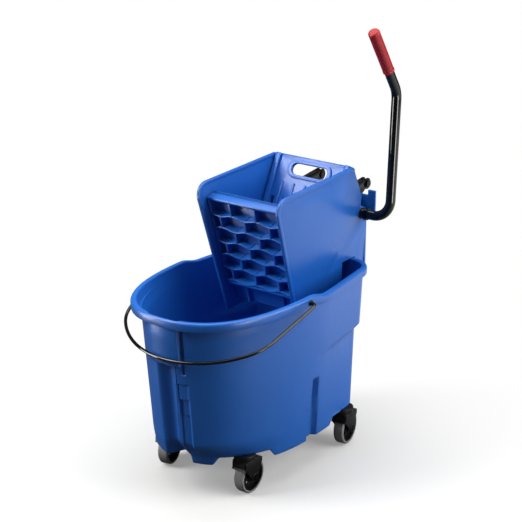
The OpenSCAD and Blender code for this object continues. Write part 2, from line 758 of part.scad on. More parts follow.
module press_plate() {
    slot_z = plate_l - hand_hole_down - hand_hole_h;
    lug_x = (pivot_x - hinge_x) * cos(plate_lean) - (pivot_h - hinge_h) * sin(plate_lean);
    lug_z = (pivot_x - hinge_x) * sin(plate_lean) + (pivot_h - hinge_h) * cos(plate_lean);
    color(blue) translate([hinge_x, 0, hinge_h]) rotate([0, plate_lean, 0]) difference() {
        union() {
            translate([-plate_face, 0, 0]) rotate([90, 0, 90]) linear_extrude(plate_t) polygon([
                [-plate_low_half_w, -plate_low],
                [plate_low_half_w, -plate_low],
                [plate_top_half_w, plate_l],
                [-plate_top_half_w, plate_l]
            ]);
            both_sides() translate([-plate_face, 0, 0]) rotate([90, 0, 90]) linear_extrude(plate_flange) polygon([
                [plate_low_half_w - plate_flange_t, 0],
                [plate_low_half_w, 0],
                [plate_top_half_w, plate_l],
                [plate_top_half_w - plate_flange_t, plate_l]
            ]);
            translate([-plate_face, -plate_top_half_w, plate_l - plate_flange_t])
                cube([plate_flange, 2 * plate_top_half_w, plate_flange_t]);
            translate([-plate_face - hand_border_t, 0, slot_z - hand_border])
                rounded_slot(hand_hole_w + 2 * hand_border, hand_hole_h + 1.6 * hand_border, hand_border_t + 1);
            for (k = [-2 : 2]) translate([-plate_face - rib_t, k * rib_pitch - rib_w / 2, barrel_r])
                cube([rib_t + 1, rib_w, plate_l - rib_top - barrel_r]);
            along_y(-plate_low_half_w + 1, plate_low_half_w - 1, barrel_r);
            both_sides() translate([0, crank_y, 0]) {
                translate([lug_x, 0, lug_z]) along_y(-lug_t / 2, lug_t / 2, lug_r);
                translate([-plate_face + 1, -lug_t / 2, lug_z - lug_r])
                    cube([lug_x + plate_face - 1, lug_t, 2 * lug_r]);
            }
        }
        along_y(-hopper_w, hopper_w, hinge_r + run_gap);
        translate([-plate_face - 10, 0, slot_z]) rounded_slot(hand_hole_w, hand_hole_h, 40);
        for (k = [-2.5 : 2.5])
            translate([-plate_face - 1, k * rib_pitch - drain_w / 2, plate_l - drain_down - drain_l])
                cube([plate_t + 2, drain_w, drain_l]);
    }
}

// Lever, drawn with the shaft on the Y axis and the arm rising along Z
module tube_path(r) {
    turn = arm_lean + handle_slope;
    tangent = high_bend_r * tan(turn / 2);
    along_y(arm_y + low_bend_r, shaft_end_y, r);
    translate([0, arm_y + low_bend_r, low_bend_r]) rotate([90, 0, 90]) bend(low_bend_r, 180, 270, r);
    translate([0, arm_y, low_bend_r]) cylinder(r = r, h = arm_l - low_bend_r - tangent);
    translate([-high_bend_r, arm_y, arm_l - tangent]) rotate([90, 0, 0]) bend(high_bend_r, 0, turn, r);
    on_handle() translate([0, 0, tangent]) cylinder(r = r, h = handle_l - grip_end_t - tangent - fix_gap);
}

module on_handle() {
    translate([0, arm_y, arm_l]) rotate([0, -arm_lean - handle_slope, 0]) children();
}

module at_shaft() {
    translate([shaft_x, 0, shaft_h]) children();
}

module lever_tube() {
    color(black) at_shaft() rotate([0, arm_lean, 0]) tube_path(tube_r);
}

module shaft_collars() {
    near = boss_end_y + bush_flange_t + pass_gap;
    color(black) at_shaft() {
        difference() {
            along_y(-near - collar_l, -near, collar_r);
            along_y(-near - collar_l - 1, 0, tube_r + fix_gap);
        }
        difference() {
            along_y(near, shaft_end_y + 3, collar_r);
            along_y(0, shaft_end_y + fix_gap, tube_r + fix_gap);
        }
    }
}

module grip() {
    color(red) at_shaft() rotate([0, arm_lean, 0]) on_handle() translate([0, 0, handle_l - grip_l]) difference() {
        union() {
            cylinder(r = grip_d / 2, h = grip_l - 4);
            translate([0, 0, grip_l - 4]) rotate_extrude() intersection() {
                translate([grip_d / 2 - 4, 0]) circle(r = 4);
                square([grip_d, 4]);
            }
            cylinder(r = grip_d / 2 - 4, h = grip_l);
        }
        translate([0, 0, -1]) cylinder(r = tube_r + fix_gap, h = grip_l - grip_end_t + 1);
    }
}

module crank() {
    difference() {
        union() {
            along_y(-crank_t / 2, crank_t / 2, crank_hub_r);
            rotate([0, -crank_rest, 0]) translate([0, -crank_t / 2, -crank_w / 2]) cube([crank_r, crank_t, crank_w]);
            rotate([0, -crank_rest, 0]) translate([crank_r, 0, 0]) along_y(-crank_t / 2, crank_t / 2, crank_lobe_r);
        }
        along_y(-crank_t, crank_t, tube_r + fix_gap);
        rotate([0, -crank_rest, 0]) translate([crank_r, 0, 0]) along_y(-crank_t, crank_t, crank_pin_r + fix_gap);
    }
}

module cranks() {
    color(black) at_shaft() for (side = [-1, 1]) translate([0, side * crank_y, 0]) crank();
}

module at_crank_pins() {
    for (side = [-1, 1]) translate([crank_pin_x, side * crank_y, crank_pin_h]) children();
}

module crank_pins() {
    head_y = link_out + 0.4;
    color(black) at_crank_pins() {
        along_y(-head_y - rivet_head_t, head_y + rivet_head_t, crank_pin_r);
        both_sides() along_y(head_y, head_y + rivet_head_t, rivet_head_r);
    }
}

// One link, drawn from the crank pin at the origin along minus X to the plate's lug
module link() {
    difference() {
        union() {
            both_sides() {
                translate([-link_l, link_in, -link_low]) cube([link_l, link_t, link_web_low + link_low + link_web_t]);
                along_y(link_in, link_out, link_lobe_r);
                translate([-link_l, 0, 0]) along_y(link_in, link_out, link_low + 3);
            }
            translate([-link_l + 10, -link_out, link_web_low]) cube([link_l - 24, 2 * link_out, link_web_t]);
        }
        along_y(-2 * link_out, 2 * link_out, crank_pin_r + run_gap);
        translate([-link_l, 0, 0]) along_y(-2 * link_out, 2 * link_out, crank_pin_r);
    }
}

module links() {
    color(black) at_crank_pins() rotate([0, -link_slope, 0]) link();
}

module link_rivets() {
    color(black) at_crank_pins() rotate([0, -link_slope, 0]) translate([-link_l, 0, 0]) both_sides() {
        along_y(link_out, link_out + rivet_head_t, rivet_head_r);
        along_y(link_in, link_out + 1, crank_pin_r - fix_gap);
    }
}

bucket();
bail_bushes();
bail();
caster_stems();
fork(0);  // fork_front_near
fork(1);  // fork_front_far
fork(2);  // fork_rear_near
fork(3);  // fork_rear_far
axle(0);  // axle_front_near
axle(1);  // axle_front_far
axle(2);  // axle_rear_near
axle(3);  // axle_rear_far
hub(0);  // hub_front_near
hub(1);  // hub_front_far
hub(2);  // hub_rear_near
hub(3);  // hub_rear_far
tyre(0);  // tyre_front_near
tyre(1);  // tyre_front_far
tyre(2);  // tyre_rear_near
tyre(3);  // tyre_rear_far
wringer_frame();
drain_grid();
hinge_pin();
hinge_caps();
shaft_bushes();
press_plate();
lever_tube();
shaft_collars();
grip();
cranks();
crank_pins();
links();
link_rivets();
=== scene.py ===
"""Wheeled mop bucket with a side press wringer, in the shape and finish seen in the photograph.

Metres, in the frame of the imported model: X runs from the pouring front to the lever end, Y across, Z up.
"""
import math

import bmesh
import bpy
from mathutils import Matrix, Vector


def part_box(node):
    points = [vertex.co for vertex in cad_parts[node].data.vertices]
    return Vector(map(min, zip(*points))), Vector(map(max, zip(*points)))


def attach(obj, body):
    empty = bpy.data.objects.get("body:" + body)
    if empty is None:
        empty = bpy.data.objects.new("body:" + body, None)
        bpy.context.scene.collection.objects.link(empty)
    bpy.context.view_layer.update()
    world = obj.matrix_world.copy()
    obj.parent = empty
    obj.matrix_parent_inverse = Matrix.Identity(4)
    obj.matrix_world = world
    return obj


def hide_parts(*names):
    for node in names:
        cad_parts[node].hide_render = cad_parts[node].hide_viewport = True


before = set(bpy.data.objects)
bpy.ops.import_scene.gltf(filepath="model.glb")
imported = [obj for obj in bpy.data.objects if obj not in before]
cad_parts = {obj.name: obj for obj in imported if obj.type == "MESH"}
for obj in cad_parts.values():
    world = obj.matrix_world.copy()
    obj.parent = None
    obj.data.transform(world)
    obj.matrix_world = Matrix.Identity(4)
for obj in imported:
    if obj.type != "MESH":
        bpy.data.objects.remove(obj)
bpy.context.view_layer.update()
mm = 0.001

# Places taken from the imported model
bucket_low, bucket_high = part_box("bucket")
tube_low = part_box("lever_tube")[0]
frame_low, frame_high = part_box("wringer_frame")
pin_low, pin_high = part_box("hinge_pin")
lever_pin_low, lever_pin_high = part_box("crank_pins")
CASTERS = ("front_near", "front_far", "rear_near", "rear_far")


# Small sums
def mix(a, b, t):
    return a + (b - a) * t


def ease(t):
    c = min(1.0, max(0.0, t))
    return c * c * (3 - 2 * c)


def evened(rule, at, reach):
    """The mean of a rule a little below and above one height, which rounds its kinks."""
    steps = [k / 4 for k in range(-4, 5)]
    return sum(rule(at + reach * s) for s in steps) / len(steps)


def arc(centre, radius, start, end, steps):
    """Points of an arc in a plane, angles in degrees."""
    turns = [math.radians(mix(start, end, k / steps)) for k in range(steps + 1)]
    return [(centre[0] + radius * math.cos(t), centre[1] + radius * math.sin(t)) for t in turns]


def turned_y(degrees):
    """A turn about Y that carries Z towards X, as in the part's own drawing."""
    return Matrix.Rotation(math.radians(degrees), 4, "Y")


def axis_between(low, high):
    """The point midway between two corners in X and Z, at the middle of the width."""
    return Vector(((low.x + high.x) / 2, 0, (low.z + high.z) / 2))


# Nodes and materials
def add(tree, kind, given=(), **settings):
    """A new node with its settings; given names each input's constant or the output that feeds it."""
    node = tree.nodes.new(kind)
    for word, value in settings.items():
        setattr(node, word, value)
    for socket, value in dict(given).items():
        if isinstance(value, bpy.types.NodeSocket):
            tree.links.new(value, node.inputs[socket])
        else:
            node.inputs[socket].default_value = value
    return node


def new_material(name):
    material = bpy.data.materials.new(name)
    material.use_nodes = True
    tree = material.node_tree
    return material, tree, tree.nodes["Principled BSDF"], add(tree, "ShaderNodeTexCoord")


def noise(tree, coords, scale, detail=3.0):
    given = {"Vector": coords.outputs["Object"], "Scale": scale, "Detail": detail}
    return add(tree, "ShaderNodeTexNoise", given).outputs["Fac"]


def ramp(tree, value, stops):
    node = add(tree, "ShaderNodeValToRGB", {"Fac": value})
    for element, (position, colour) in zip(node.color_ramp.elements, stops):
        element.position = position
        element.color = colour + (1.0,)
    return node.outputs["Color"]


def ranged(tree, value, low, high):
    given = {"Value": value, "From Min": 0.3, "From Max": 0.7, "To Min": low, "To Max": high}
    return add(tree, "ShaderNodeMapRange", given).outputs["Result"]


def bumped(tree, shader, heights):
    """Chains bumps from (value, distance) pairs into the shader's normal."""
    given = {"Strength": 1.0}
    for value, distance in heights:
        given.update({"Height": value, "Distance": distance})
        given["Normal"] = add(tree, "ShaderNodeBump", given).outputs["Normal"]
    tree.links.new(given["Normal"], shader.inputs["Normal"])


def finish_material(name, dark, light, rough, grain, metallic=0.0, shine=0.5, patch=9.0):
    """A finish with a patchy colour, uneven gloss and a fine grain: grain is (scale, height) pairs."""
    material, tree, shader, coords = new_material(name)
    patches = noise(tree, coords, patch, 4.0)
    tree.links.new(ramp(tree, patches, ((0.35, dark), (0.65, light))), shader.inputs["Base Color"])
    gloss = noise(tree, coords, patch * 4, 5.0)
    tree.links.new(ranged(tree, gloss, rough[0], rough[1]), shader.inputs["Roughness"])
    bumped(tree, shader, [(noise(tree, coords, scale), height) for scale, height in grain])
    shader.inputs["Metallic"].default_value = metallic
    shader.inputs["Specular IOR Level"].default_value = shine
    return material


paint_dark, paint_light = (0.002, 0.002, 0.0022), (0.004, 0.004, 0.0044)
BLUE = finish_material("blue_moulded_plastic", (0.009, 0.104, 0.435), (0.011, 0.112, 0.46), (0.31, 0.335),
                       ((28.0, 0.0005),), shine=0.45)
BLACK_PLASTIC = finish_material("black_caster_plastic", (0.003, 0.003, 0.0033), (0.006, 0.006, 0.0065),
                                (0.34, 0.48), ((700.0, 0.00008),), shine=0.25)
BLACK_PAINT = finish_material("black_gloss_paint", paint_dark, paint_light, (0.04, 0.07),
                              ((40.0, 0.00002),), shine=0.45)
BLACK_COAT = finish_material("black_linkage_coat", paint_dark, paint_light, (0.08, 0.14),
                             ((40.0, 0.00002),), shine=0.16)
RED_VINYL = finish_material("red_vinyl_grip", (0.33, 0.010, 0.016), (0.37, 0.013, 0.019), (0.30, 0.38),
                            ((60.0, 0.00004),), shine=0.3)
GREY_RUBBER = finish_material("grey_tyre_rubber", (0.20, 0.20, 0.20), (0.27, 0.27, 0.27), (0.5, 0.7),
                              ((500.0, 0.0001),), patch=40.0)
PLATED_STEEL = finish_material("zinc_plated_steel", (0.46, 0.46, 0.47), (0.58, 0.58, 0.59), (0.25, 0.4),
                               ((400.0, 0.00004),), metallic=1.0, patch=60.0)
SLOTS = {
    "blue_plastic": BLUE, "black_plastic": BLACK_PLASTIC, "black_steel": BLACK_PAINT,
    "black_linkage": BLACK_COAT, "red_vinyl": RED_VINYL, "grey_rubber": GREY_RUBBER,
    "bare_steel": PLATED_STEEL,
}


# Pieces: every maker returns a bmesh, and piece() turns one or more of them into an object on a body
def moved(shape, matrix):
    bmesh.ops.transform(shape, matrix=matrix, verts=shape.verts)
    if matrix.determinant() < 0:
        bmesh.ops.reverse_faces(shape, faces=shape.faces)
    return shape


def both_sides(shape):
    """A shape and its mirror copy on the other side of the width."""
    return [moved(shape.copy(), Matrix.Diagonal((1, -1, 1, 1))), shape]


def piece(name, shapes, slot, body, stands_for, crease=35.0):
    mesh = bpy.data.meshes.new(name)
    whole = bmesh.new()
    for shape in shapes:
        part = bpy.data.meshes.new("part")
        shape.to_mesh(part)
        shape.free()
        whole.from_mesh(part)
        bpy.data.meshes.remove(part)
    bmesh.ops.remove_doubles(whole, verts=whole.verts, dist=0.00001)
    whole.to_mesh(mesh)
    whole.free()
    return mesh_piece(name, mesh, slot, body, stands_for, crease)


def mesh_piece(name, mesh, slot, body, stands_for, crease=35.0):
    for face in mesh.polygons:
        face.use_smooth = True
    mesh.set_sharp_from_angle(angle=math.radians(crease))
    mesh.materials.clear()
    mesh.materials.append(SLOTS[slot])
    made = bpy.data.objects.new(name, mesh)
    bpy.context.scene.collection.objects.link(made)
    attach(made, body)
    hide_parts(*stands_for)
    return made


def skin(rings):
    """A skin over rings of points, each ring closed, with a flat face at each end."""
    shape = bmesh.new()
    rows = [[shape.verts.new(p) for p in ring] for ring in rings]
    count = len(rows[0])
    for lower, upper in zip(rows, rows[1:]):
        for j in range(count):
            k = (j + 1) % count
            shape.faces.new((lower[j], lower[k], upper[k], upper[j]))
    shape.faces.new(rows[0][::-1])
    shape.faces.new(rows[-1])
    bmesh.ops.recalc_face_normals(shape, faces=shape.faces)
    return shape


def lathe(profile, steps=64):
    """A closed outline of (radius, height) points turned about Z."""
    shape = bmesh.new()
    rows = []
    for k in range(steps):
        turn = 2 * math.pi * k / steps
        rows.append([shape.verts.new((r * math.cos(turn), r * math.sin(turn), h)) for r, h in profile])
    count = len(profile)
    for k in range(steps):
        here, there = rows[k], rows[(k + 1) % steps]
        for j in range(count):
            n = (j + 1) % count
            shape.faces.new((here[j], there[j], there[n], here[n]))
    bmesh.ops.remove_doubles(shape, verts=shape.verts, dist=0.000001)
    bmesh.ops.dissolve_degenerate(shape, edges=shape.edges, dist=0.000001)
    bmesh.ops.recalc_face_normals(shape, faces=shape.faces)
    return shape


def rounded_profile(inner, outer, low, high, edge, steps=4):
    """The (radius, height) outline of a ring or disc with rounded outer edges."""
    upper = arc((outer - edge, high - edge), edge, 90, 0, steps)
    lower = arc((outer - edge, low + edge), edge, 0, -90, steps)
    return [(inner, low), (inner, high)] + upper + lower


def flat_piece(loops, thickness, edge):
    """A flat piece in the XY plane, centred on Z, with rounded edges: the first loop is its outline."""
    curve = bpy.data.curves.new("outline", "CURVE")
    curve.dimensions = "2D"
    curve.fill_mode = "BOTH"
    curve.extrude = thickness / 2 - edge
    curve.bevel_depth = edge
    curve.bevel_resolution = 2
    curve.offset = -edge
    for loop in loops:
        spline = curve.splines.new("POLY")
        spline.points.add(len(loop) - 1)
        for point, (x, y) in zip(spline.points, loop):
            point.co = (x, y, 0, 1)
        spline.use_cyclic_u = True
    holder = bpy.data.objects.new("outline", curve)
    bpy.context.scene.collection.objects.link(holder)
    ready = holder.evaluated_get(bpy.context.evaluated_depsgraph_get())
    mesh = bpy.data.meshes.new_from_object(ready)
    shape = bmesh.new()
    shape.from_mesh(mesh)
    bpy.data.objects.remove(holder)
    bpy.data.curves.remove(curve)
    bpy.data.meshes.remove(mesh)
    bmesh.ops.remove_doubles(shape, verts=shape.verts, dist=0.000005)
    bmesh.ops.recalc_face_normals(shape, faces=shape.faces)
    return shape


def rounded_loop(points, radius, steps=5):
    """A closed loop with its corners rounded, never by more than a third of the shorter side."""
    loop = []
    count = len(points)
    for i in range(count):
        here = Vector(points[i])
        to_last = Vector(points[i - 1]) - here
        to_next = Vector(points[(i + 1) % count]) - here
        cut = min(radius, to_last.length / 3, to_next.length / 3)
        start = here + to_last.normalized() * cut
        end = here + to_next.normalized() * cut
        for k in range(steps + 1):
            t = k / steps
            loop.append(tuple((1 - t) ** 2 * start + 2 * t * (1 - t) * here + t * t * end))
    return loop


def circle_loop(centre, radius, steps=28):
    return arc(centre, radius, 0, 360 - 360 / steps, steps - 1)


def block(size, middle, edge):
    """A box with rounded edges."""
    shape = bmesh.new()
    bmesh.ops.create_cube(shape, size=1, matrix=Matrix.Translation(middle) @ Matrix.Diagonal((*size, 1)))
    bmesh.ops.bevel(shape, geom=shape.edges, offset=edge, segments=2, profile=0.5, affect="EDGES")
    return shape


XZ_PLANE = Matrix(((1, 0, 0, 0), (0, 0, -1, 0), (0, 1, 0, 0), (0, 0, 0, 1)))
YZ_PLANE = Matrix(((0, 0, 1, 0), (1, 0, 0, 0), (0, 1, 0, 0), (0, 0, 0, 1)))


def standing(loops, thickness, edge, front):
    """A flat piece across the width, standing up, with its front at one X."""
    place = Matrix.Translation((front + thickness / 2, 0, 0))
    return moved(flat_piece(loops, thickness, edge), place @ YZ_PLANE)


def upright(shape, y):
    """Stands a flat piece in the XZ plane at one Y."""
    return moved(shape, Matrix.Translation((0, y, 0)) @ XZ_PLANE)


def along_y(shape, place):
    """Lays a turned piece along Y at a place."""
    return moved(shape, Matrix.Translation(place) @ Matrix.Rotation(math.radians(-90), 4, "X"))


# Geometry Nodes
def new_tree(name, numbers):
    tree = bpy.data.node_groups.new(name, "GeometryNodeTree")
    tree.interface.new_socket("Geometry", in_out="INPUT", socket_type="NodeSocketGeometry")
    for word in numbers:
        tree.interface.new_socket(word, in_out="INPUT", socket_type="NodeSocketFloat")
    tree.interface.new_socket("Finish", in_out="INPUT", socket_type="NodeSocketMaterial")
    tree.interface.new_socket("Geometry", in_out="OUTPUT", socket_type="NodeSocketGeometry")
    return tree, tree.nodes.new("NodeGroupInput"), tree.nodes.new("NodeGroupOutput")


def end_tree(tree, source, given, result):
    """Every tree ends by realising what it repeats and setting its finish."""
    real = add(tree, "GeometryNodeRealizeInstances", {"Geometry": source}).outputs["Geometry"]
    painted = add(tree, "GeometryNodeSetMaterial", {"Geometry": real, "Material": given.outputs["Finish"]})
    tree.links.new(painted.outputs["Geometry"], result.inputs["Geometry"])


def grown(name, tree, base, values, material):
    """The plain mesh that a tree makes from a base mesh and its named values."""
    holder = bpy.data.objects.new(name, base)
    bpy.context.scene.collection.objects.link(holder)
    maker = holder.modifiers.new("maker", "NODES")
    maker.node_group = tree
    for item in tree.interface.items_tree:
        if item.in_out == "INPUT" and item.name in values:
            maker[item.identifier] = values[item.name]
        if item.in_out == "INPUT" and item.name == "Finish":
            maker[item.identifier] = material
    ready = holder.evaluated_get(bpy.context.evaluated_depsgraph_get())
    mesh = bpy.data.meshes.new_from_object(ready)
    mesh.name = name
    holder.modifiers.remove(maker)
    bpy.data.objects.remove(holder)
    return mesh


def worked(tree, operation, first, second=0.0):
    return add(tree, "ShaderNodeMath", {0: first, 1: second}, operation=operation).outputs["Value"]


def place_of(tree, x, y, z):
    return add(tree, "ShaderNodeCombineXYZ", {"X": x, "Y": y, "Z": z}).outputs["Vector"]


def round_bar_tree():
    """A round bar along the edges of a mesh line, with closed ends."""
    tree, given, result = new_tree("round_bar", ("Radius",))
    path = add(tree, "GeometryNodeMeshToCurve", {"Mesh": given.outputs["Geometry"]})
    size = {"Resolution": 32, "Radius": given.outputs["Radius"]}
    ring = add(tree, "GeometryNodeCurvePrimitiveCircle", size)
    run = {"Curve": path.outputs["Curve"], "Profile Curve": ring.outputs["Curve"], "Fill Caps": True}
    end_tree(tree, add(tree, "GeometryNodeCurveToMesh", run).outputs["Mesh"], given, result)
    return tree


def head_tree():
    """A domed head on every point of a mesh, facing the way its facing attribute says."""
    tree, given, result = new_tree("domed_heads", ("Radius", "Height"))
    top_share = 0.62
    dome = add(tree, "GeometryNodeMeshCone", {
        "Vertices": 28, "Side Segments": 1, "Radius Bottom": given.outputs["Radius"],
        "Radius Top": worked(tree, "MULTIPLY", given.outputs["Radius"], top_share),
        "Depth": given.outputs["Height"],
    })
    facing = add(tree, "GeometryNodeInputNamedAttribute", {"Name": "facing"}, data_type="FLOAT_VECTOR")
    turn = add(tree, "FunctionNodeAlignRotationToVector", {"Vector": facing.outputs["Attribute"]}, axis="Z")
    spread = add(tree, "GeometryNodeInstanceOnPoints", {
        "Points": given.outputs["Geometry"], "Instance": dome.outputs["Mesh"],
        "Rotation": turn.outputs["Rotation"],
    })
    end_tree(tree, spread.outputs["Instances"], given, result)
    return tree


def lattice_tree():
    """Wavy fins in rows, every second row half a cell along, with short webs where two fins come close."""
    words = ("Width", "Pitch", "Cell", "Wave", "Depth", "Fin", "Web", "Shift")
    tree, given, result = new_tree("wave_lattice", words)
    width, pitch, cell, wave, depth, fin, web, shift = [given.outputs[word] for word in words]
    place = add(tree, "GeometryNodeInputPosition").outputs["Position"]
    split = add(tree, "ShaderNodeSeparateXYZ", {"Vector": place})
    joined = add(tree, "GeometryNodeJoinGeometry")
    two_rows = worked(tree, "MULTIPLY", pitch, 2)
    along = worked(tree, "DIVIDE", worked(tree, "SUBTRACT", split.outputs["Y"], shift), cell)
    wave_line = worked(tree, "COSINE", worked(tree, "MULTIPLY", along, 2 * math.pi))
    swing = worked(tree, "MULTIPLY", wave_line, wave)

    def spread_rows(shape, start, count, across):
        rows = add(tree, "GeometryNodeMeshLine", {
            "Count": count, "Start Location": place_of(tree, 0, across, start),
            "Offset": place_of(tree, 0, 0, two_rows),
        })
        spread = {"Points": rows.outputs["Mesh"], "Instance": shape}
        instances = add(tree, "GeometryNodeInstanceOnPoints", spread).outputs["Instances"]
        tree.links.new(instances, joined.inputs["Geometry"])

    rows = 3
    for first_row, sign, web_shares in ((0, 1, (-1, 0, 1)), (1, -1, (-0.5, 0.5))):
        size = {"Vertices Y": 73, "Size": place_of(tree, depth, width, fin)}
        sheet = add(tree, "GeometryNodeMeshCube", size)
        lift = place_of(tree, 0, 0, worked(tree, "MULTIPLY", swing, sign))
        bent = add(tree, "GeometryNodeSetPosition", {"Geometry": sheet.outputs["Mesh"], "Offset": lift})
        start = worked(tree, "MULTIPLY", pitch, first_row)
        spread_rows(bent.outputs["Geometry"], start, rows, 0)
        post = add(tree, "GeometryNodeMeshCube", {"Size": place_of(tree, depth, web, pitch)})
        middle = worked(tree, "ADD", start, worked(tree, "DIVIDE", pitch, 2))
        for share in web_shares:
            across = worked(tree, "ADD", worked(tree, "MULTIPLY", cell, share), shift)
            spread_rows(post.outputs["Mesh"], middle, rows, across)
    end_tree(tree, joined.outputs["Geometry"], given, result)
    return tree


ROUND_BAR = round_bar_tree()
HEADS = head_tree()
LATTICE = lattice_tree()


def round_bar(name, points, radius, slot, body, stands_for):
    path = bpy.data.meshes.new(name + "_path")
    path.from_pydata(points, [(i, i + 1) for i in range(len(points) - 1)], [])
    mesh = grown(name, ROUND_BAR, path, {"Radius": radius}, SLOTS[slot])
    return mesh_piece(name, mesh, slot, body, stands_for, 40.0)


def domed_heads(name, places, radius, height, slot, body, stands_for):
    """Heads at places, given as (point, direction) pairs."""
    points = bpy.data.meshes.new(name + "_points")
    points.from_pydata([p for p, way in places], [], [])
    facing = points.attributes.new("facing", "FLOAT_VECTOR", "POINT")
    for i, (p, way) in enumerate(places):
        facing.data[i].vector = way
    mesh = grown(name, HEADS, points, {"Radius": radius, "Height": height}, SLOTS[slot])
    return mesh_piece(name, mesh, slot, body, stands_for, 20.0)


# Bucket: rings of points from the lower edge up the outside, over the rim and down the inside
rim_front, rim_rear = bucket_low.x, bucket_high.x
rim_half, rim_rear_half = bucket_high.y, 157 * mm
rim_top = bucket_high.z
# The moulding's lower edge hangs a little below the solid's
foot_height = bucket_low.z - 4 * mm
rim_drop, skirt, overhang, wall = 11.5 * mm, 19 * mm, 9 * mm, 5 * mm
body_top = rim_top - rim_drop - skirt - overhang
front_length_share = 0.545
mid_x = mix(rim_front, rim_rear, front_length_share)
# The knee low in the front, and the shoulder of the rear
knee_height, knee_setback, front_setback, rear_setback = 118 * mm, 33 * mm, 66 * mm, 62 * mm
shoulder_height, shoulder_step, upper_slope = 255 * mm, 8 * mm, math.tan(math.radians(2))
shoulder_round, shoulder_rise, knee_round = 5 * mm, 7 * mm, 14 * mm
front_foot_height = knee_height - 22 * mm
# Front: a round channel under a ledge, with a stepped pocket beside it; shares are of the half width
ledge_height, channel_depth, channel_share, far_channel_share = 311 * mm, 17 * mm, 0.15, 0.17
pocket_depth, pocket_share = 9 * mm, 0.135
step_heights, step_shares = (271 * mm, 235 * mm, 200 * mm), (0.012, 0.04, 0.03)
terrace_depth, terrace_share = 2.2 * mm, 0.30
step_slope, ledge_slope, panel_low_slope, pocket_fade = 1.5 * mm, 3 * mm, 4 * mm, 20 * mm
far_fill_share, far_fill_fade = 0.85, 25 * mm
# The raised panel above the ledge, and its groove
panel_share, panel_proud_low, panel_proud_high = 0.215, 4 * mm, 6.4 * mm
panel_low, panel_groove_depth, panel_groove_end, panel_groove_fade = 292 * mm, 6 * mm, 0.268, 0.03
edge_share, panel_edge, terrace_fade, far_panel_share, far_panel_fade = 0.013, 0.008, 0.05, 0.45, 0.3
# The upright groove of each side, and the foot with its arches over the casters
groove_top, groove_depth, groove_end = 214 * mm, 11 * mm, 26 * mm
groove_start_low, groove_start_high = -13 * mm, 1 * mm
groove_front_slope, groove_slope, foot_slope, arch_slope = 2.5 * mm, 9 * mm, 2 * mm, 16 * mm
bottom_height, floor_height, arch_height, arch_radius = 92 * mm, 98 * mm, 91 * mm, 69 * mm
front_edge_x, near_foot_y = -190 * mm, -23 * mm
# The pouring lip, and the section of the rim
spout_half, spout_dip, spout_slope = 40 * mm, 9 * mm, 2 * mm
rim_lip, outer_round, inner_round = 13 * mm, (4.6 * mm, 6 * mm), (4 * mm, 4.5 * mm)
# A level: front, half width, rear half width, rear, rear corner radius and power of the front's curve
RIM_LEVEL = (rim_front, rim_half, rim_rear_half, rim_rear, 55 * mm, 2.5)
BODY_LEVEL = (rim_front + overhang, rim_half - overhang, rim_rear_half - overhang, rim_rear - overhang,
              46 * mm, 2.05)
FOOT_LEVEL = (rim_front + front_setback, 156 * mm, 154 * mm, rim_rear - rear_setback, 42 * mm, 2.05)


def inset(level, by):
    front, half, rear_half, rear, corner, power = level
    return (front + by, half - by, rear_half - by, rear - by, corner - by, power)


def straight_front_at(h):
    knee = rim_front + knee_setback
    return mix(knee, BODY_LEVEL[0], (h - knee_height) / (body_top - knee_height))


def front_at(h):
    if h > knee_height:
        return straight_front_at(h)
    share = max(0.0, (h - front_foot_height) / (knee_height - front_foot_height))
    return mix(FOOT_LEVEL[0], rim_front + knee_setback, share)


def rear_at(i, h):
    shoulder = BODY_LEVEL[i] - (body_top - shoulder_height) * upper_slope
    if h > shoulder_height + shoulder_rise:
        return BODY_LEVEL[i] - (body_top - h) * upper_slope
    return mix(FOOT_LEVEL[i], shoulder - shoulder_step, (h - foot_height) / (shoulder_height - foot_height))


def body_level(h):
    share = (h - foot_height) / (body_top - foot_height)
    even = [mix(a, b, share) for a, b in zip(FOOT_LEVEL, BODY_LEVEL)]
    return (evened(front_at, h, knee_round), even[1], evened(lambda z: rear_at(2, z), h, shoulder_round),
            evened(lambda z: rear_at(3, z), h, shoulder_round), even[4], even[5])


def outline(level):
    """One ring: (x, y, share of the half width in the front or None behind the middle)."""
    front, half, rear_half, rear, corner, power = level
    corner_x = rear - corner
    fine_step, fine_count, side_step, side_count = 0.004, 90, 0.006, 12
    front_count, taper_count, corner_count, rear_count = 80, 48, 12, 8
    shares = [fine_step * k for k in range(fine_count)]
    side_shares = [(1 - (side_step * k) ** power) ** (1 / power) for k in range(side_count, -1, -1)]
    for k in range(front_count + 1):
        share = math.sin(math.pi / 2 * k / front_count)
        if fine_step * fine_count < share < side_shares[0]:
            shares.append(share)
    shares += side_shares
    points = []
    for share in shares:
        x = mid_x - (mid_x - front) * (1 - share ** power) ** (1 / power)
        points.append((x, half * share, share))
    taper_start = 0.3
    for k in range(1, taper_count + 1):
        along = k / taper_count
        run = along ** 2 / (2 * taper_start) if along < taper_start else along - taper_start / 2
        y = mix(half, rear_half, run / (1 - taper_start / 2))
        points.append((mix(mid_x, corner_x, along), y, None))
    for k in range(1, corner_count + 1):
        turn = math.radians(90 * k / corner_count)
        y = rear_half - corner + corner * math.cos(turn)
        points.append((corner_x + corner * math.sin(turn), y, None))
    for k in range(1, rear_count + 1):
        points.append((rear, (rear_half - corner) * (1 - k / rear_count), None))
    return points + [(x, -y, share) for x, y, share in points[-2:0:-1]]


def steps_above(h):
    """For each step beside the channel, 1 below it and 0 above it, with a short slope between."""
    return [ease((top - h) / step_slope) for top in step_heights]


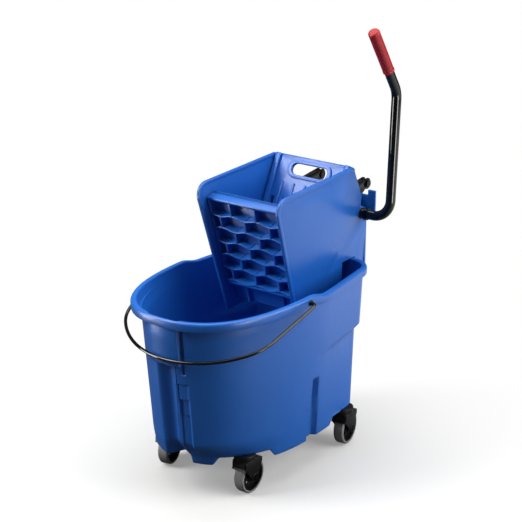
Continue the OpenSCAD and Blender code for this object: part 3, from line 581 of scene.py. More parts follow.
def front_depth(share, y, h):
    """How far the front is sunk: the round channel, the stepped pocket, the panel and its groove."""
    if share is None:
        return 0.0
    near, passed = y < 0, steps_above(h)
    over_foot = ease((h - front_foot_height) / pocket_fade)
    under_ledge = ease((ledge_height - h) / ledge_slope)
    edge = channel_share if near else far_channel_share
    channel = channel_depth * (0.5 + 0.5 * math.cos(math.pi * min(1.0, share / edge)))
    pocket, terrace, groove = 0.0, 0.0, 0.0
    if near:
        pocket_end = channel_share + sum(step * done for step, done in zip(step_shares, passed))
        pocket = pocket_depth * ease((share - pocket_share) / edge_share)
        pocket *= ease((pocket_end - share) / edge_share)
        terrace = terrace_depth * sum(passed) * ease((terrace_share - share) / terrace_fade)
        groove = panel_groove_depth * ease((panel_groove_end - share) / panel_groove_fade)
        groove *= ease((share - panel_share + panel_edge / 2) / panel_edge)
        groove *= ease((h - panel_low + panel_low_slope / 2) / panel_low_slope)
    over_ledge = (h - ledge_height) / (rim_top - skirt - ledge_height)
    proud = mix(panel_proud_low, panel_proud_high, over_ledge) * (1 - under_ledge)
    end, fade = (panel_share, panel_edge) if near else (far_panel_share, far_panel_fade)
    proud *= ease((end - share) / fade)
    return under_ledge * max(channel, pocket * over_foot, terrace * over_foot) + groove - proud


def far_fill(share, y, h):
    """The far side of the front has little of the undercut that the near side has."""
    if share is None or h > knee_height + knee_round:
        return 0.0
    undercut = max(0.0, evened(front_at, h, knee_round) - straight_front_at(h))
    return far_fill_share * undercut * ease(y / far_fill_fade) * math.sqrt(1 - share * share)


def side_depth(x, h):
    """How far the upright groove of each side is sunk: it starts further forward at its foot."""
    start = mix(groove_start_low, groove_start_high, (h - foot_height) / (groove_top - foot_height))
    across = ease((x - mid_x - start) / groove_front_slope) * ease((mid_x + groove_end - x) / groove_slope)
    return groove_depth * across * ease((groove_top - h) / groove_slope)


def body_ring(level, h):
    ring = []
    for x, y, share in outline(level):
        x += front_depth(share, y, h) - far_fill(share, y, h)
        y -= math.copysign(side_depth(x, h), y)
        ring.append((x, y, h))
    return ring


def neck_ring(down):
    """The top of the wall, just under the skirt of the rim."""
    ring = []
    for x, y, share in outline(BODY_LEVEL):
        h = rim_height(x) - skirt - down
        ring.append((x + front_depth(share, y, h), y, h))
    return ring


def lower_edge(x, y):
    if x < front_edge_x and y > near_foot_y:
        lift = ease((y - near_foot_y) / foot_slope)
    else:
        lift = 0.0
    near = min(math.hypot(x - p.x, y - p.y) for p in caster_swivels)
    return mix(foot_height, arch_height, max(lift, ease((arch_radius - near) / arch_slope)))


def foot_ring(level, up=0.0):
    return [(x, y, lower_edge(x, y) + up) for x, y, h in body_ring(level, foot_height)]


def rim_height(x):
    drop_x, drop_half = mid_x + 5 * mm, 30 * mm
    return rim_top - rim_drop * ease((x - drop_x + drop_half) / (2 * drop_half))


def rim_ring(by, down, dip=0.0):
    ring = []
    for x, y, share in outline(inset(RIM_LEVEL, by)):
        sunk = dip * ease((spout_half - abs(y)) / spout_slope) if x < front_edge_x else 0.0
        ring.append((x, y, rim_height(x) - down - sunk))
    return ring


def between(low_ring, high_ring, share):
    return [tuple(mix(a, b, share) for a, b in zip(p, q)) for p, q in zip(low_ring, high_ring)]


stem_low, stem_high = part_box("caster_stems")
swivel_reach = 20 * mm
front_swivel_y, rear_swivel_y = 105 * mm, stem_high.y - swivel_reach
front_swivel_x, rear_swivel_x = stem_low.x + swivel_reach, stem_high.x - swivel_reach
caster_swivels = [Vector((front_swivel_x, -front_swivel_y, 0)), Vector((front_swivel_x, front_swivel_y, 0)),
                  Vector((rear_swivel_x, -rear_swivel_y, 0)), Vector((rear_swivel_x, rear_swivel_y, 0))]


def spaced(values, gap):
    """Rising values without those that come too close after the one before."""
    kept = values[:1]
    for value in values[1:]:
        if value - kept[-1] > gap:
            kept.append(value)
    return kept


def bucket_moulding():
    outer_low, outer_rows, inner_low, inner_rows, floor_turn = 130 * mm, 60, 124 * mm, 30, 106 * mm
    heights = [mix(outer_low, body_top, k / outer_rows) for k in range(outer_rows + 1)]
    # Rows lie closer where the front steps
    for top in step_heights + (ledge_height,):
        heights += [top - k / 2 * mm for k in range(7)]
    heights += [panel_low + k * mm for k in range(-2, 3)]
    knee_heights = [front_foot_height + k * mm for k in (*range(0, 32, 4), 31)]
    foot = foot_ring(FOOT_LEVEL, 1.2 * mm)
    knee = [body_ring(body_level(h), h) for h in knee_heights]
    rings = [body_ring(inset(FOOT_LEVEL, wall + 1 * mm), bottom_height)]
    rings += [foot_ring(inset(FOOT_LEVEL, wall), 1 * mm), foot_ring(inset(FOOT_LEVEL, wall - 1 * mm))]
    rings += [foot_ring(inset(FOOT_LEVEL, 1 * mm)), foot]
    rings += [between(foot, knee[0], share) for share in (0.33, 0.66)] + knee
    rings += [body_ring(body_level(h), h) for h in spaced(sorted(heights), 0.3 * mm)]
    rings += [neck_ring(4 * mm), neck_ring(1 * mm), neck_ring(0.2 * mm)]
    for by, down in ((2.2 * mm, 0), (1 * mm, 0.5 * mm), (0.5 * mm, 2 * mm)):
        rings.append(rim_ring(by, skirt - down))
    for turn in [math.radians(18 * k) for k in range(6)]:
        rings.append(rim_ring(outer_round[0] * (1 - math.cos(turn)), outer_round[1] * (1 - math.sin(turn))))
    rings.append(rim_ring(outer_round[0] + 1 * mm, 0, spout_dip))
    for turn in [math.radians(90 - 18 * k) for k in range(6)]:
        by = rim_lip - inner_round[0] * (1 - math.cos(turn))
        rings.append(rim_ring(by, inner_round[1] * (1 - math.sin(turn)), spout_dip))
    inner_heights = [mix(body_top, inner_low, k / inner_rows) for k in range(inner_rows + 1)]
    rings += [body_ring(inset(body_level(h), wall), h) for h in inner_heights]
    rings += [body_ring(inset(FOOT_LEVEL, wall + 1 * mm), floor_turn),
              body_ring(inset(FOOT_LEVEL, wall + 4 * mm), floor_height + 2 * mm),
              body_ring(inset(FOOT_LEVEL, wall + 9 * mm), floor_height)]
    return skin(rings)


def swivel_seats():
    """The black seats between the bucket's underside and the casters."""
    seat_low, seat_radius = 82.6 * mm, 23 * mm
    return [moved(lathe(rounded_profile(0, seat_radius, seat_low, bottom_height + 2 * mm, 1 * mm)),
                  Matrix.Translation(place)) for place in caster_swivels]


piece("bucket_moulding", [bucket_moulding()], "blue_plastic", "bucket", ["bucket"], 40.0)
piece("swivel_seats", swivel_seats(), "black_plastic", "bucket", ["caster_stems"])

# Wringer: two drafted side walls, the rear housing with its bridge and ears, and the shaft bosses
wall_t, draft = 5 * mm, math.radians(1.75)
hopper_top, hopper_half = frame_high.z, 104 * mm
collar_low, collar_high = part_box("shaft_collars")
shaft = axis_between(collar_low, collar_high)
tube_r = 10.75 * mm
hinge = axis_between(pin_low, pin_high)
front_lean_degrees = 15.8
front_lean = math.radians(front_lean_degrees)
hopper_rear = 200 * mm
hopper_front = hopper_rear - 278 * mm
hopper_front_top = hopper_top - 7 * mm
hopper_low = frame_low.z
seat_height = rim_top - rim_drop + 0.4 * mm
seat_x = rim_rear - 46 * mm
rear_wall_x, rear_round = frame_high.x, 11 * mm
rear_wall_top, bridge_top, ear_top = shaft.z - 20 * mm, shaft.z + 35 * mm, shaft.z + 47 * mm
skirt_low, skirt_x = seat_height - 30 * mm, rim_rear + 3 * mm
panel_t, corner_round, housing_edge = 3.6 * mm, 28 * mm, 1.2 * mm
bead_width, bead_out, bead_in = 9 * mm, 2.5 * mm, 5 * mm
# The cranks and links turn this far out on each side, inside the outer ends of their pins
crank_y = lever_pin_high.y - 11 * mm


def half_width_at(h):
    return hopper_half - (hopper_top - h) * math.tan(draft)


def front_edge_at(h):
    return hopper_front + (hopper_front_top - h) * math.tan(front_lean)


def wall_edge():
    """The front and top edge of a side wall as (x, z) points, from its foot to its rear corner."""
    centre = (hopper_front + corner_round, hopper_front_top - corner_round)
    edge = [(front_edge_at(hopper_low), hopper_low)] + arc(centre, corner_round, 194, 91.5, 14)
    return edge + [(hopper_rear - 3 * mm, hopper_top - 0.2 * mm)]


def side_wall():
    """One side wall, drafted outward towards its top, on the minus Y side."""
    loop = wall_edge()
    loop += [(hopper_rear + 3 * mm, hopper_top - 3 * mm), (shaft.x - 3 * mm, shaft.z + 40 * mm)]
    loop += arc((shaft.x, shaft.z), tube_r + 0.6 * mm, 124, 268, 14)
    loop += [
        (shaft.x + 12 * mm, rear_wall_top), (rear_wall_x - rear_round, rear_wall_top - 2 * mm),
        (rear_wall_x - rear_round, skirt_low), (skirt_x, skirt_low), (skirt_x, seat_height),
        (seat_x, seat_height), (seat_x, seat_height - 62 * mm), (hinge.x + 30 * mm, hopper_low),
    ]
    shape = upright(flat_piece([loop[::-1]], panel_t, housing_edge), 0)
    for vert in shape.verts:
        vert.co.y += panel_t / 2 - half_width_at(vert.co.z)
    return shape


def edge_bead():
    """The thick rounded edge along the front and the top of a side wall."""
    corners = [(0, -bead_in), (bead_width, -bead_in), (bead_width, bead_out), (0, bead_out)]
    section = rounded_loop(corners, 2.5 * mm, 3)
    path = [Vector(point) for point in wall_edge()]
    rings = []
    for last, here, following in zip(path[:1] + path, path, path[1:] + path[-1:]):
        run = (following - last).normalized()
        face = -half_width_at(here.y)
        rings.append([(here.x + run.y * a, face - out, here.y - run.x * a) for a, out in section])
    return skin(rings)


def rear_housing():
    """The rear wall and its round corners, a U in plan."""
    half = half_width_at((seat_height + rear_wall_top) / 2)
    start_x = rear_wall_x - rear_round - 2 * mm
    centre = (rear_wall_x - rear_round, half - rear_round)
    outer = [(start_x, half)] + arc(centre, rear_round, 90, 0, 8)
    inner = [(start_x, half - wall_t)] + arc(centre, rear_round - wall_t, 90, 0, 8)
    loop = outer + [(x, -y) for x, y in outer[::-1]] + [(x, -y) for x, y in inner] + inner[::-1]
    height = rear_wall_top - skirt_low
    shape = flat_piece([loop[::-1]], height, housing_edge)
    return moved(shape, Matrix.Translation((0, 0, skirt_low + height / 2)))


def rear_bridge():
    """The upper rear wall between the ears, with a notch for each pair of links."""
    half, ear, notch_half = hopper_half + 13.5 * mm, 19 * mm, 11.6 * mm
    notch_low, step = shaft.z - 12 * mm, shaft.z - 4 * mm
    inner = half_width_at(rear_wall_top) - rear_round
    right = [(inner, rear_wall_top - 8 * mm), (inner, step), (half, step), (half, ear_top)]
    right += [(half - ear, ear_top), (half - ear, bridge_top), (crank_y + notch_half, bridge_top)]
    right += [(crank_y + notch_half, notch_low), (crank_y - notch_half, notch_low)]
    right.append((crank_y - notch_half, bridge_top))
    loop = rounded_loop([(-y, z) for y, z in right[::-1]] + right, 2 * mm)
    return standing([loop], wall_t, housing_edge, rear_wall_x - wall_t)


def rear_seat():
    half = half_width_at(seat_height) - 2 * mm
    length = rear_wall_x - wall_t - seat_x
    corners = [(0, -half), (length, -half + rear_round), (length, half - rear_round), (0, half)]
    seat_t = 4 * mm
    place = Matrix.Translation((seat_x, 0, seat_height + seat_t / 2))
    return moved(flat_piece([rounded_loop(corners, 8 * mm)], seat_t, 0.8 * mm), place)


def shaft_ring(inner, outer, low, high):
    """A ring round the shaft behind the plus Y side wall, low and high measured from the wall's face."""
    face = half_width_at(shaft.z)
    return along_y(lathe(rounded_profile(inner, outer, face + low, face + high, 0.8 * mm)), shaft)


boss_depth, sleeve_r, boss_r = 17 * mm, 12.5 * mm, 15.5 * mm
wringer_shapes = both_sides(side_wall()) + both_sides(edge_bead())
wringer_shapes += both_sides(shaft_ring(sleeve_r + 0.1 * mm, boss_r, -boss_depth, -0.6 * mm))
wringer_shapes += [rear_housing(), rear_bridge(), rear_seat()]
sleeves = both_sides(shaft_ring(tube_r + 0.1 * mm, sleeve_r, -boss_depth, 2 * mm))
piece("wringer_housing", wringer_shapes, "blue_plastic", "wringer", ["wringer_frame"])
piece("shaft_sleeves", sleeves, "black_plastic", "wringer", ["shaft_bushes"])

# Drain grid: the wave lattice, its skin, its flat top and its lower ribs, drawn upright and then leaned
grid_low, grid_top, grid_rows = 373 * mm, 573 * mm, 6
grid_half = half_width_at(grid_low) - wall_t - 0.6 * mm
grid_length = (grid_top - grid_low) / math.cos(front_lean)
grid_depth, grid_skin, grid_ledge, fin_t, web_t = 29 * mm, 10 * mm, 7 * mm, 3.8 * mm, 4.4 * mm
grid_shift, grid_setback = 8 * mm, 15 * mm
grid_front = front_edge_at(grid_low) + grid_setback
grid_place = Matrix.Translation((grid_front, 0, grid_low)) @ turned_y(-front_lean_degrees)


def drain_grid():
    pitch, lap = (grid_length - grid_ledge) / grid_rows, 1 * mm
    values = {"Width": 2 * grid_half, "Pitch": pitch, "Cell": 2 * grid_half / 3, "Wave": 3.2 * mm,
              "Depth": grid_depth - grid_skin + lap, "Fin": fin_t, "Web": web_t, "Shift": grid_shift}
    lattice = bmesh.new()
    lattice.from_mesh(grown("lattice", LATTICE, bpy.data.meshes.new("seed"), values, BLUE))
    bmesh.ops.remove_doubles(lattice, verts=lattice.verts, dist=0.000001)
    sharp = [e for e in lattice.edges if len(e.link_faces) == 2 and e.calc_face_angle() > math.radians(50)]
    bmesh.ops.bevel(lattice, geom=sharp, offset=1.1 * mm, segments=2, profile=0.5, affect="EDGES")
    moved(lattice, Matrix.Translation(((grid_depth - grid_skin) / 2, 0, 0)))
    tail, tail_y, tail_t, tail_inset = 58 * mm, 48 * mm, 4 * mm, 10 * mm
    side_t, middle = 3 * mm, grid_depth / 2
    shapes = [lattice, block((grid_skin, 2 * grid_half, grid_length + tail),
                             (grid_depth - grid_skin / 2, 0, (grid_length - tail) / 2), 0.8 * mm)]
    for height in (grid_length - grid_ledge / 2, -grid_ledge / 2 - 2 * mm):
        shapes.append(block((grid_depth, 2 * grid_half, grid_ledge), (middle, 0, height), 2.2 * mm))
    for side in (-1, 1):
        side_place = (middle, side * (grid_half - side_t / 2), grid_length / 2)
        shapes.append(block((grid_depth, side_t, grid_length), side_place, 0.8 * mm))
        tail_place = (middle + tail_inset / 2, side * tail_y, lap - tail / 2)
        shapes.append(block((grid_depth - tail_inset, tail_t, tail), tail_place, 0.8 * mm))
    for shape in shapes:
        for vert in shape.verts:
            vert.co.y *= 1 + vert.co.z * math.cos(front_lean) * math.tan(draft) / grid_half
    return [moved(shape, grid_place) for shape in shapes]


piece("drain_lattice", drain_grid(), "blue_plastic", "wringer", ["drain_grid"])

# Press plate, drawn upright on its hinge with its face towards minus X, and then leaned
plate_lean, plate_length, plate_face = 29.0, 300 * mm, 8 * mm
plate_place = Matrix.Translation(hinge) @ turned_y(plate_lean)
plate_low_half = half_width_at(hinge.z) - wall_t - 1.6 * mm
plate_top_half = half_width_at(hopper_top) - wall_t - 1.1 * mm


def slot_loop(width, height, middle):
    radius = height / 2 - 1 * mm
    left, right = -width / 2 + radius, width / 2 - radius
    loop = []
    for x, y, turn in ((right, -1, -90), (right, 1, 0), (left, 1, 90), (left, -1, 180)):
        loop += arc((x, middle + y * mm), radius, turn, turn + 90, 7)
    return loop


def press_plate():
    hole_w, hole_h, hole_middle = 92 * mm, 26 * mm, plate_length - 29 * mm
    low, sheet_t, border_t, border_proud = -12 * mm, 5 * mm, 4 * mm, 3 * mm
    face = rounded_loop([(-plate_low_half, low), (plate_low_half, low), (plate_top_half, plate_length),
                         (-plate_top_half, plate_length)], 4 * mm)
    hole = slot_loop(hole_w, hole_h, hole_middle)
    rib_step, drain_half, drain_count = 30 * mm, 4 * mm, 6
    drain_low, drain_high = plate_length - 116 * mm, plate_length - 98 * mm
    drains = []
    for k in range(drain_count):
        drain_y = (k - (drain_count - 1) / 2) * rib_step
        left, right = drain_y - drain_half, drain_y + drain_half
        corners = [(left, drain_low), (right, drain_low), (right, drain_high), (left, drain_high)]
        drains.append(rounded_loop(corners, 1 * mm, 2))
    sheet = standing([face, hole] + drains, sheet_t, 0.8 * mm, -plate_face)
    border_loop = slot_loop(hole_w + 20 * mm, hole_h + 16 * mm, hole_middle)
    border = standing([border_loop, hole], border_t, 1.2 * mm, -plate_face - border_proud)
    shapes = [sheet, border]
    flange, flange_t, column_depth, column_w = 20 * mm, 4 * mm, 8 * mm, 14 * mm
    slope = math.atan2(plate_top_half - plate_low_half, plate_length)
    for side in (-1, 1):
        at_edge = Matrix.Translation((0, side * (plate_low_half - flange_t / 2), 0))
        at_edge @= Matrix.Rotation(-side * slope, 4, "X")
        edge_place = (flange / 2 - plate_face, 0, plate_length / 2)
        shapes.append(moved(block((flange, flange_t, plate_length), edge_place, 1.2 * mm), at_edge))
        column_place = (-plate_face - 2 * mm, -side * 5 * mm, plate_length / 2)
        shapes.append(moved(block((column_depth, column_w, plate_length), column_place, 2.4 * mm), at_edge))
    shapes.append(block((flange, 2 * plate_top_half - flange_t, flange_t),
                        (flange / 2 - plate_face, 0, plate_length - flange_t / 2), 1.4 * mm))
    rib_low, rib_w = 9 * mm, 5 * mm
    rib_length = plate_length - 61 * mm - rib_low
    for k in range(-2, 3):
        rib_place = (-plate_face, k * rib_step, rib_low + rib_length / 2)
        shapes.append(block((rib_w, rib_w, rib_length), rib_place, 1.6 * mm))
    barrel_half = plate_low_half - 1 * mm
    barrel = lathe(rounded_profile(5.05 * mm, 9 * mm, -barrel_half, barrel_half, 1 * mm))
    shapes.append(along_y(barrel, (0, 0, 0)))
    return [moved(shape, plate_place) for shape in shapes]


piece("press_face", press_plate(), "blue_plastic", "plate", ["press_plate"])

# Lever: one bent tube from the shaft's far end, up the arm and along the handle, with its grip
arm_y = tube_low.y + tube_r
arm_length, arm_lean, handle_slope, handle_length = 279.5 * mm, 2.6, 34.9, 174.5 * mm
low_bend, high_bend = 42 * mm, 50 * mm
shaft_end = half_width_at(shaft.z) + 12 * mm
lever_place = Matrix.Translation(shaft) @ turned_y(arm_lean)


def handle_point(along):
    """A point on the handle's axis, measured from where it meets the arm's axis."""
    turn = math.radians(arm_lean + handle_slope)
    return Vector((-along * math.sin(turn), arm_y, arm_length + along * math.cos(turn)))


def lever_path():
    turn = arm_lean + handle_slope
    tangent = high_bend * math.tan(math.radians(turn / 2))
    points = [Vector((0, shaft_end, 0)), Vector((0, 0, 0))]
    points += [Vector((0, y, z)) for y, z in arc((arm_y + low_bend, low_bend), low_bend, 270, 180, 14)]
    bend_centre = (-high_bend, arm_length - tangent)
    points += [Vector((x, arm_y, z)) for x, z in arc(bend_centre, high_bend, 0, turn, 10)]
    points.append(handle_point(handle_length - 5 * mm))
    return [tuple(lever_place @ p) for p in points]


def lever_grip():
    """The grip, turned about the handle: a flared lower end, a plain middle and a round tip."""
    length, radius = 113 * mm, 12.75 * mm
    bore, flare, tip = tube_r + 0.05 * mm, 4 * mm, 5 * mm
    outline_points = [(bore, 0), (radius - 0.6 * mm, 0), (radius, 0.8 * mm), (radius, flare)]
    outline_points += [(radius - 0.5 * mm, flare + 1 * mm), (radius - 0.5 * mm, 3 * flare)]
    outline_points += [(radius - 0.25 * mm, length / 2), (radius - 0.3 * mm, length - tip - flare)]
    outline_points += arc((radius - 0.3 * mm - tip, length - tip), tip, 0, 90, 6)
    outline_points += [(0, length), (0, length - tip), (bore, length - tip)]
    turn = Matrix.Rotation(math.radians(-arm_lean - handle_slope), 4, "Y")
    place = lever_place @ Matrix.Translation(handle_point(handle_length - length)) @ turn
    return moved(lathe(outline_points, 48), place)


round_bar("lever_pipe", lever_path(), tube_r, "black_steel", "lever", ["lever_tube"])
piece("lever_grip", [lever_grip()], "red_vinyl", "lever", ["grip"])

# Linkage: cranks on the shaft and a pair of links each
crank_rest, crank_length = 31.7, 84.6 * mm
crank_pin = axis_between(lever_pin_low, lever_pin_high)
link_length, link_slope = 137.8 * mm, 6.0
link_inside, link_t = 4.6 * mm, 3 * mm


def crank():
    half_w, hub_r, lobe_r = 9 * mm, 16 * mm, 10 * mm
    hub_turn = math.degrees(math.asin(half_w / hub_r))
    lobe_turn = math.degrees(math.asin(half_w / lobe_r))
    loop = arc((0, 0), hub_r, hub_turn, 360 - hub_turn, 30)
    loop += arc((crank_length, 0), lobe_r, -lobe_turn - 35, lobe_turn + 35, 14)
    holes = [circle_loop((0, 0), tube_r - 0.2 * mm), circle_loop((crank_length, 0), 5 * mm)]
    shape = upright(flat_piece([loop] + holes, 8 * mm, 1 * mm), 0)
    return moved(shape, Matrix.Translation((shaft.x, crank_y, shaft.z)) @ turned_y(-crank_rest))


def link_cheek():
    """One cheek of a link, from the crank pin at the origin along minus X."""
    lobe, low, high, end = 13 * mm, -8 * mm, 13.2 * mm, 11 * mm
    loop = arc((0, 0), lobe, -90, 88, 14) + [(-14 * mm, high), (-link_length + 10 * mm, high)]
    loop += arc((-link_length, 0), end, 95, 265, 14) + [(-16 * mm, low)]
    holes = [circle_loop((0, 0), 4.9 * mm), circle_loop((-link_length, 0), 4.9 * mm)]
    return flat_piece([loop] + holes, link_t, 0.8 * mm)


def links():
    place = Matrix.Translation(crank_pin) @ turned_y(-link_slope)
    shapes = []
    for side in (-1, 1):
        for offset in (-1, 1):
            shapes.append(upright(link_cheek(), side * crank_y + offset * (link_inside + link_t / 2)))
        web = (link_length - 24 * mm, 2 * (link_inside + link_t) - 1 * mm, 2.4 * mm)
        shapes.append(block(web, (-link_length / 2 - 2 * mm, side * crank_y, 12 * mm), 0.9 * mm))
    return [moved(shape, place) for shape in shapes]


piece("crank_arms", both_sides(crank()), "black_linkage", "lever", ["cranks"])
piece("link_pairs", links(), "black_linkage", "links", ["links"])

lug_pin = crank_pin + turned_y(-link_slope) @ Vector((-link_length, 0, 0))
lug_heads = []
for side in (-1, 1):
    for way in (-1, 1):
        y = side * crank_y + way * (link_inside + link_t + 0.2 * mm)
        lug_heads.append(((lug_pin.x, y, lug_pin.z), (0, way, 0)))
domed_heads("link_rivet_heads", lug_heads, 8 * mm, 2.3 * mm, "black_linkage", "links", ["link_rivets"])

# Bail: a bent wire from pivot to pivot round the front
wire_r = 3.5 * mm
bail_low, bail_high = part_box("bail")
bail_pivot = Vector((-62 * mm, 0, 401 * mm))
bail_half, bail_hang = bail_high.y - wire_r, 16.2
bail_reach = (bail_pivot.x - wire_r - bail_low.x) / math.cos(math.radians(bail_hang))
bail_taper, bail_arm, bail_corner, bail_bend, bail_pin = 3.6, 134 * mm, 117 * mm, 9 * mm, 22 * mm


def bail_path():
    """Half of the bail drawn with its pivot on Y and reaching along X, then mirrored and hung."""
    slope = math.radians(bail_taper)
    corner = (bail_arm * math.cos(slope) - bail_corner * math.sin(slope),
              bail_half - bail_arm * math.sin(slope) - bail_corner * math.cos(slope))
    left = bail_reach - corner[0]
    bow = (bail_corner ** 2 - left ** 2 - corner[1] ** 2) / (2 * (bail_corner - left))
    bow_x = bail_reach - bow
    bow_turn = math.degrees(math.atan2(corner[1], corner[0] - bow_x))
    half = [(0, bail_half - bail_pin)]
    half += arc((bail_bend, bail_half - bail_bend), bail_bend, 180, 90 - bail_taper, 8)
    half += arc(corner, bail_corner, 90 - bail_taper, bow_turn, 20)
    half += arc((bow_x, 0), bow, bow_turn, 0, 20)[1:]
    whole = half + [(x, -y) for x, y in half[-2::-1]]
    place = Matrix.Translation(bail_pivot) @ turned_y(180 - bail_hang)
    return [tuple(place @ Vector((x, y, 0))) for x, y in whole]


def bail_bush():
    """A bush in the rim that the bail's end turns in, with a small flange outside."""
    sleeve = rounded_profile(wire_r + 0.1 * mm, 6 * mm, rim_half - 8 * mm, rim_half + 2.6 * mm, 0.8 * mm)
    return along_y(lathe(sleeve, 40), bail_pivot)


round_bar("bail_wire", bail_path(), wire_r, "black_steel", "bail", ["bail"])
piece("bail_eyes", both_sides(bail_bush()), "black_plastic", "bucket", ["bail_bushes"])

# Casters: hooded forks, hubs with six holes and tyres; the axles keep their imported shape
wheel_r, tyre_w, tyre_t, trail = 38 * mm, 24 * mm, 5.5 * mm, 14 * mm
caster_turns = dict(zip(CASTERS, (0, 14, 8, 0)))
hood_in, hood_t, hood_low, leg_y, leg_t = 41 * mm, 3 * mm, 24 * mm, 14.5 * mm, 3.5 * mm
crown_x = -34 * mm
hood_top = wheel_r + hood_in + hood_t


def hood_band():
    """The curved hood over the tyre, swept about the axle from its front lip to the rear."""
    outer = hood_in + hood_t
    start, end = 180 - math.degrees(math.asin(hood_low / outer)), math.degrees(math.acos(hood_low / outer))
    half = leg_y + leg_t - 0.5 * mm
    section = rounded_loop([(hood_in, -half), (outer, -half), (outer, half), (hood_in, half)], 1.4 * mm, 3)
    rings = []
    for k in range(25):
        turn = math.radians(mix(start, end, k / 24))
        rings.append([(r * math.cos(turn), y, r * math.sin(turn)) for r, y in section])
    return skin(rings)


def fork_crown():
    """The block that fills the corner between the hood and the swivel."""
    loop = [(crown_x, hood_low), (crown_x, hood_in + hood_t), (0, hood_in + hood_t)]
    loop += arc((0, 0), hood_in + 1 * mm, 90, 145, 8)
    return upright(flat_piece([loop[::-1]], 2 * leg_y + 1 * mm, 1.4 * mm), 0)


def fork_leg():
    points = [(crown_x, hood_low), (crown_x + 1 * mm, hood_in + 1 * mm), (8 * mm, hood_in + 2 * mm)]
    points += [(20 * mm, 38 * mm), (hood_low, 32 * mm), (15 * mm, 12 * mm), (10 * mm, -4 * mm)]
    points += [(4 * mm, -9 * mm), (-4 * mm, -9 * mm), (-10 * mm, -4 * mm), (-hood_low, hood_low - 10 * mm)]
    return flat_piece([rounded_loop(points[::-1], 5 * mm)], leg_t, 1 * mm)


def fork():
    shapes = [hood_band(), fork_crown()]
    for side in (-1, 1):
        shapes.append(upright(fork_leg(), side * (leg_y + leg_t / 2)))
        cup = lathe(rounded_profile(0, 9.5 * mm, 0, leg_t + 1.6 * mm, 1 * mm), 40)
        way = Matrix.Rotation(math.radians(-90 * side), 4, "X")
        shapes.append(moved(cup, Matrix.Translation((0, side * leg_y, 0)) @ way))
    for shape in shapes:
        moved(shape, Matrix.Translation((trail, 0, wheel_r)))
    swivel = lathe(rounded_profile(6.05 * mm, 22 * mm, hood_top - hood_t, hood_top, 1.2 * mm))
    return shapes + [swivel]


def hub_shapes():
    outer, band_half, hole_ring, hole_r = wheel_r - tyre_t, tyre_w / 2 - 1 * mm, 17.5 * mm, 5 * mm
    rim_band = lathe(rounded_profile(outer - 4 * mm, outer, -band_half, band_half, 0.8 * mm))
    holes = [circle_loop(centre, hole_r, 20) for centre in circle_loop((0, 0), hole_ring, 6)]
    disc = flat_piece([circle_loop((0, 0), outer - 3 * mm, 64)] + holes, 6 * mm, 1 * mm)
    boss = lathe(rounded_profile(4.05 * mm, 9 * mm, -tyre_w / 2, tyre_w / 2, 1 * mm), 40)
    ridge = lathe(rounded_profile(24 * mm, 26.5 * mm, -4.5 * mm, 4.5 * mm, 1 * mm))
    on_side = Matrix.Rotation(math.radians(90), 4, "X")
    return [moved(shape, on_side) for shape in (rim_band, disc, boss, ridge)]


def tyre():
    inner, side, round_r = wheel_r - tyre_t, tyre_w / 2, 4.5 * mm
    outline_points = [(inner, -side + 1 * mm), (inner + 0.4 * mm, -side + 0.2 * mm)]
    outline_points += arc((wheel_r - round_r, -side + round_r), round_r, -90, 0, 7)
    outline_points += arc((wheel_r - round_r, side - round_r), round_r, 0, 90, 7)
    outline_points += [(inner + 0.4 * mm, side - 0.2 * mm), (inner, side - 1 * mm)]
    return moved(lathe(outline_points, 96), Matrix.Rotation(math.radians(90), 4, "X"))


for word, swivel in zip(CASTERS, caster_swivels):
    at_swivel = Matrix.Translation(swivel) @ Matrix.Rotation(math.radians(caster_turns[word]), 4, "Z")
    at_wheel = at_swivel @ Matrix.Translation((trail, 0, wheel_r))
    piece("hooded_fork_" + word, [moved(s, at_swivel) for s in fork()], "black_plastic", "caster_" + word,
          ["fork_" + word])
    piece("wheel_hub_" + word, [moved(s, at_wheel) for s in hub_shapes()], "black_plastic", "wheel_" + word,
          ["hub_" + word])
    piece("wheel_tyre_" + word, [moved(tyre(), at_wheel)], "grey_rubber", "wheel_" + word, ["tyre_" + word])

# CAD nodes that keep their shape take their finishes
for slot_name, nodes in {
    "black_linkage": ["shaft_collars", "crank_pins"] + ["axle_" + word for word in CASTERS],
    "bare_steel": ["hinge_pin", "hinge_caps"],
}.items():
    for node in nodes:
        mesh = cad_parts[node].data
        mesh.materials.clear()
        mesh.materials.append(SLOTS[slot_name])

# Camera
camera_data = bpy.data.cameras.new("camera")
camera_data.lens = 97.75
camera_data.sensor_width = 36
camera = bpy.data.objects.new("camera", camera_data)
camera.location = (-2.27156, -1.68307, 1.46244)
camera.rotation_euler = (math.radians(70.037), 0, math.radians(-53.547))
bpy.context.scene.collection.objects.link(camera)
bpy.context.scene.camera = camera

# Floor, which keeps the shadow near the object and fades to white away from it
floor_mesh = bpy.data.meshes.new("floor")
floor_shape = bmesh.new()
bmesh.ops.create_circle(floor_shape, cap_ends=True, segments=96, radius=7)
floor_shape.to_mesh(floor_mesh)
floor_shape.free()
floor = bpy.data.objects.new("floor", floor_mesh)
bpy.context.scene.collection.objects.link(floor)
floor_material, floor_tree, floor_shader, floor_coords = new_material("pale_floor")
floor_tones = ((0.3, (0.67, 0.667, 0.655)), (0.7, (0.69, 0.687, 0.675)))
floor_colour = ramp(floor_tree, noise(floor_tree, floor_coords, 2.0), floor_tones)
floor_tree.links.new(floor_colour, floor_shader.inputs["Base Color"])
floor_shader.inputs["Roughness"].default_value = 0.9
floor_shader.inputs["Specular IOR Level"].default_value = 0.1
fade_centre, fade_near, fade_far, fade_least = (-0.22, 0, 0), 0.35, 1.05, 0.25
pale_way, painted_shade_end, pale_end = (0.8, -0.6, 0), -0.2, 1.3


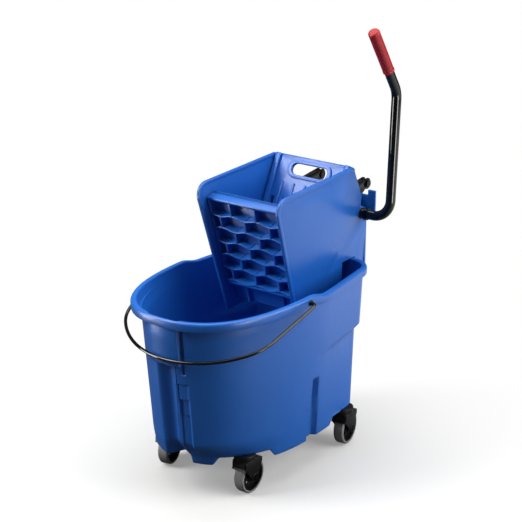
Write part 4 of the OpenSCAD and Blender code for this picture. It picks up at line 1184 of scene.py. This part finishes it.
def floor_share(value, near, far, low=0.0):
    """A smooth share that grows from low at one value to 1 at another."""
    given = {"Value": value, "From Min": near, "From Max": far, "To Min": low}
    node = add(floor_tree, "ShaderNodeMapRange", given, interpolation_type="SMOOTHSTEP")
    return node.outputs["Result"]


def mixed(tree, share, first, second):
    return add(tree, "ShaderNodeMixShader", {0: share, 1: first, 2: second}).outputs["Shader"]


# The floor the camera sees fades to white; the floor the object sees has painted shade, darker towards its
# front and far side
on_floor = floor_coords.outputs["Object"]
white = add(floor_tree, "ShaderNodeEmission", {"Strength": 1.0}).outputs["Emission"]
reach = add(floor_tree, "ShaderNodeVectorMath", {0: on_floor, 1: fade_centre}, operation="DISTANCE")
pale = floor_shader.outputs["BSDF"]
seen_share = floor_share(reach.outputs["Value"], fade_near, fade_far, fade_least)
seen_floor = mixed(floor_tree, seen_share, pale, white)
# Painted shade: a dark floor colour, seen only in the object's bounce light and reflections, stands in for
# the floor in front lying in less light
dark = add(floor_tree, "ShaderNodeBsdfDiffuse", {"Color": (0.06, 0.06, 0.06, 1)}).outputs["BSDF"]
across = add(floor_tree, "ShaderNodeVectorMath", {0: on_floor, 1: pale_way}, operation="DOT_PRODUCT")
floor_with_painted_shade = mixed(floor_tree, floor_share(across.outputs["Value"], painted_shade_end, pale_end), dark, pale)
seen = add(floor_tree, "ShaderNodeLightPath").outputs["Is Camera Ray"]
floor_tree.links.new(mixed(floor_tree, seen, floor_with_painted_shade, seen_floor),
                     floor_tree.nodes["Material Output"].inputs["Surface"])
floor_mesh.materials.append(floor_material)

# Light: a soft white room, a broad key from the right, a broad lamp above and a smaller one from the left
world = bpy.data.worlds.new("room")
bpy.context.scene.world = world
world.use_nodes = True
room = world.node_tree
room_light = room.nodes["Background"]
room_light.inputs["Color"].default_value = (1, 1, 1, 1)
room_light.inputs["Strength"].default_value = 0.12
backdrop = add(room, "ShaderNodeBackground", {"Color": (1, 1, 1, 1), "Strength": 1.0})
room_seen = add(room, "ShaderNodeLightPath").outputs["Is Camera Ray"]
room_mix = mixed(room, room_seen, room_light.outputs["Background"], backdrop.outputs["Background"])
room.links.new(room_mix, room.nodes["World Output"].inputs["Surface"])


def softbox(name, place, aim, size, power):
    data = bpy.data.lights.new(name, "AREA")
    data.shape = "RECTANGLE"
    data.size, data.size_y = size
    data.energy = power
    lamp = bpy.data.objects.new(name, data)
    lamp.location = place
    lamp.rotation_euler = (Vector(aim) - Vector(place)).to_track_quat("-Z", "Y").to_euler()
    bpy.context.scene.collection.objects.link(lamp)
    return lamp


softbox("key_box", (1.2, -2.7, 1.7), (0, 0, 0.45), (2.4, 2.4), 105)
softbox("top_box", (0.3, 0.2, 3.0), (0, 0, 0.3), (3.0, 3.0), 90)
softbox("left_box", (-2.0, 1.75, 2.5), (0, 0, 0.45), (1.4, 2.0), 118)
# Two low strips that only show as streaks in the lever's gloss
for side_name, strip_place in (("left", (-0.85, 0.75, 0.3)), ("right", (-0.2, -1.55, 0.25))):
    strip = softbox(side_name + "_streak", strip_place, (shaft.x, arm_y, 0.3), (0.4, 0.7), 12)
    strip.visible_diffuse = False

bpy.context.scene.view_settings.view_transform = "Standard"
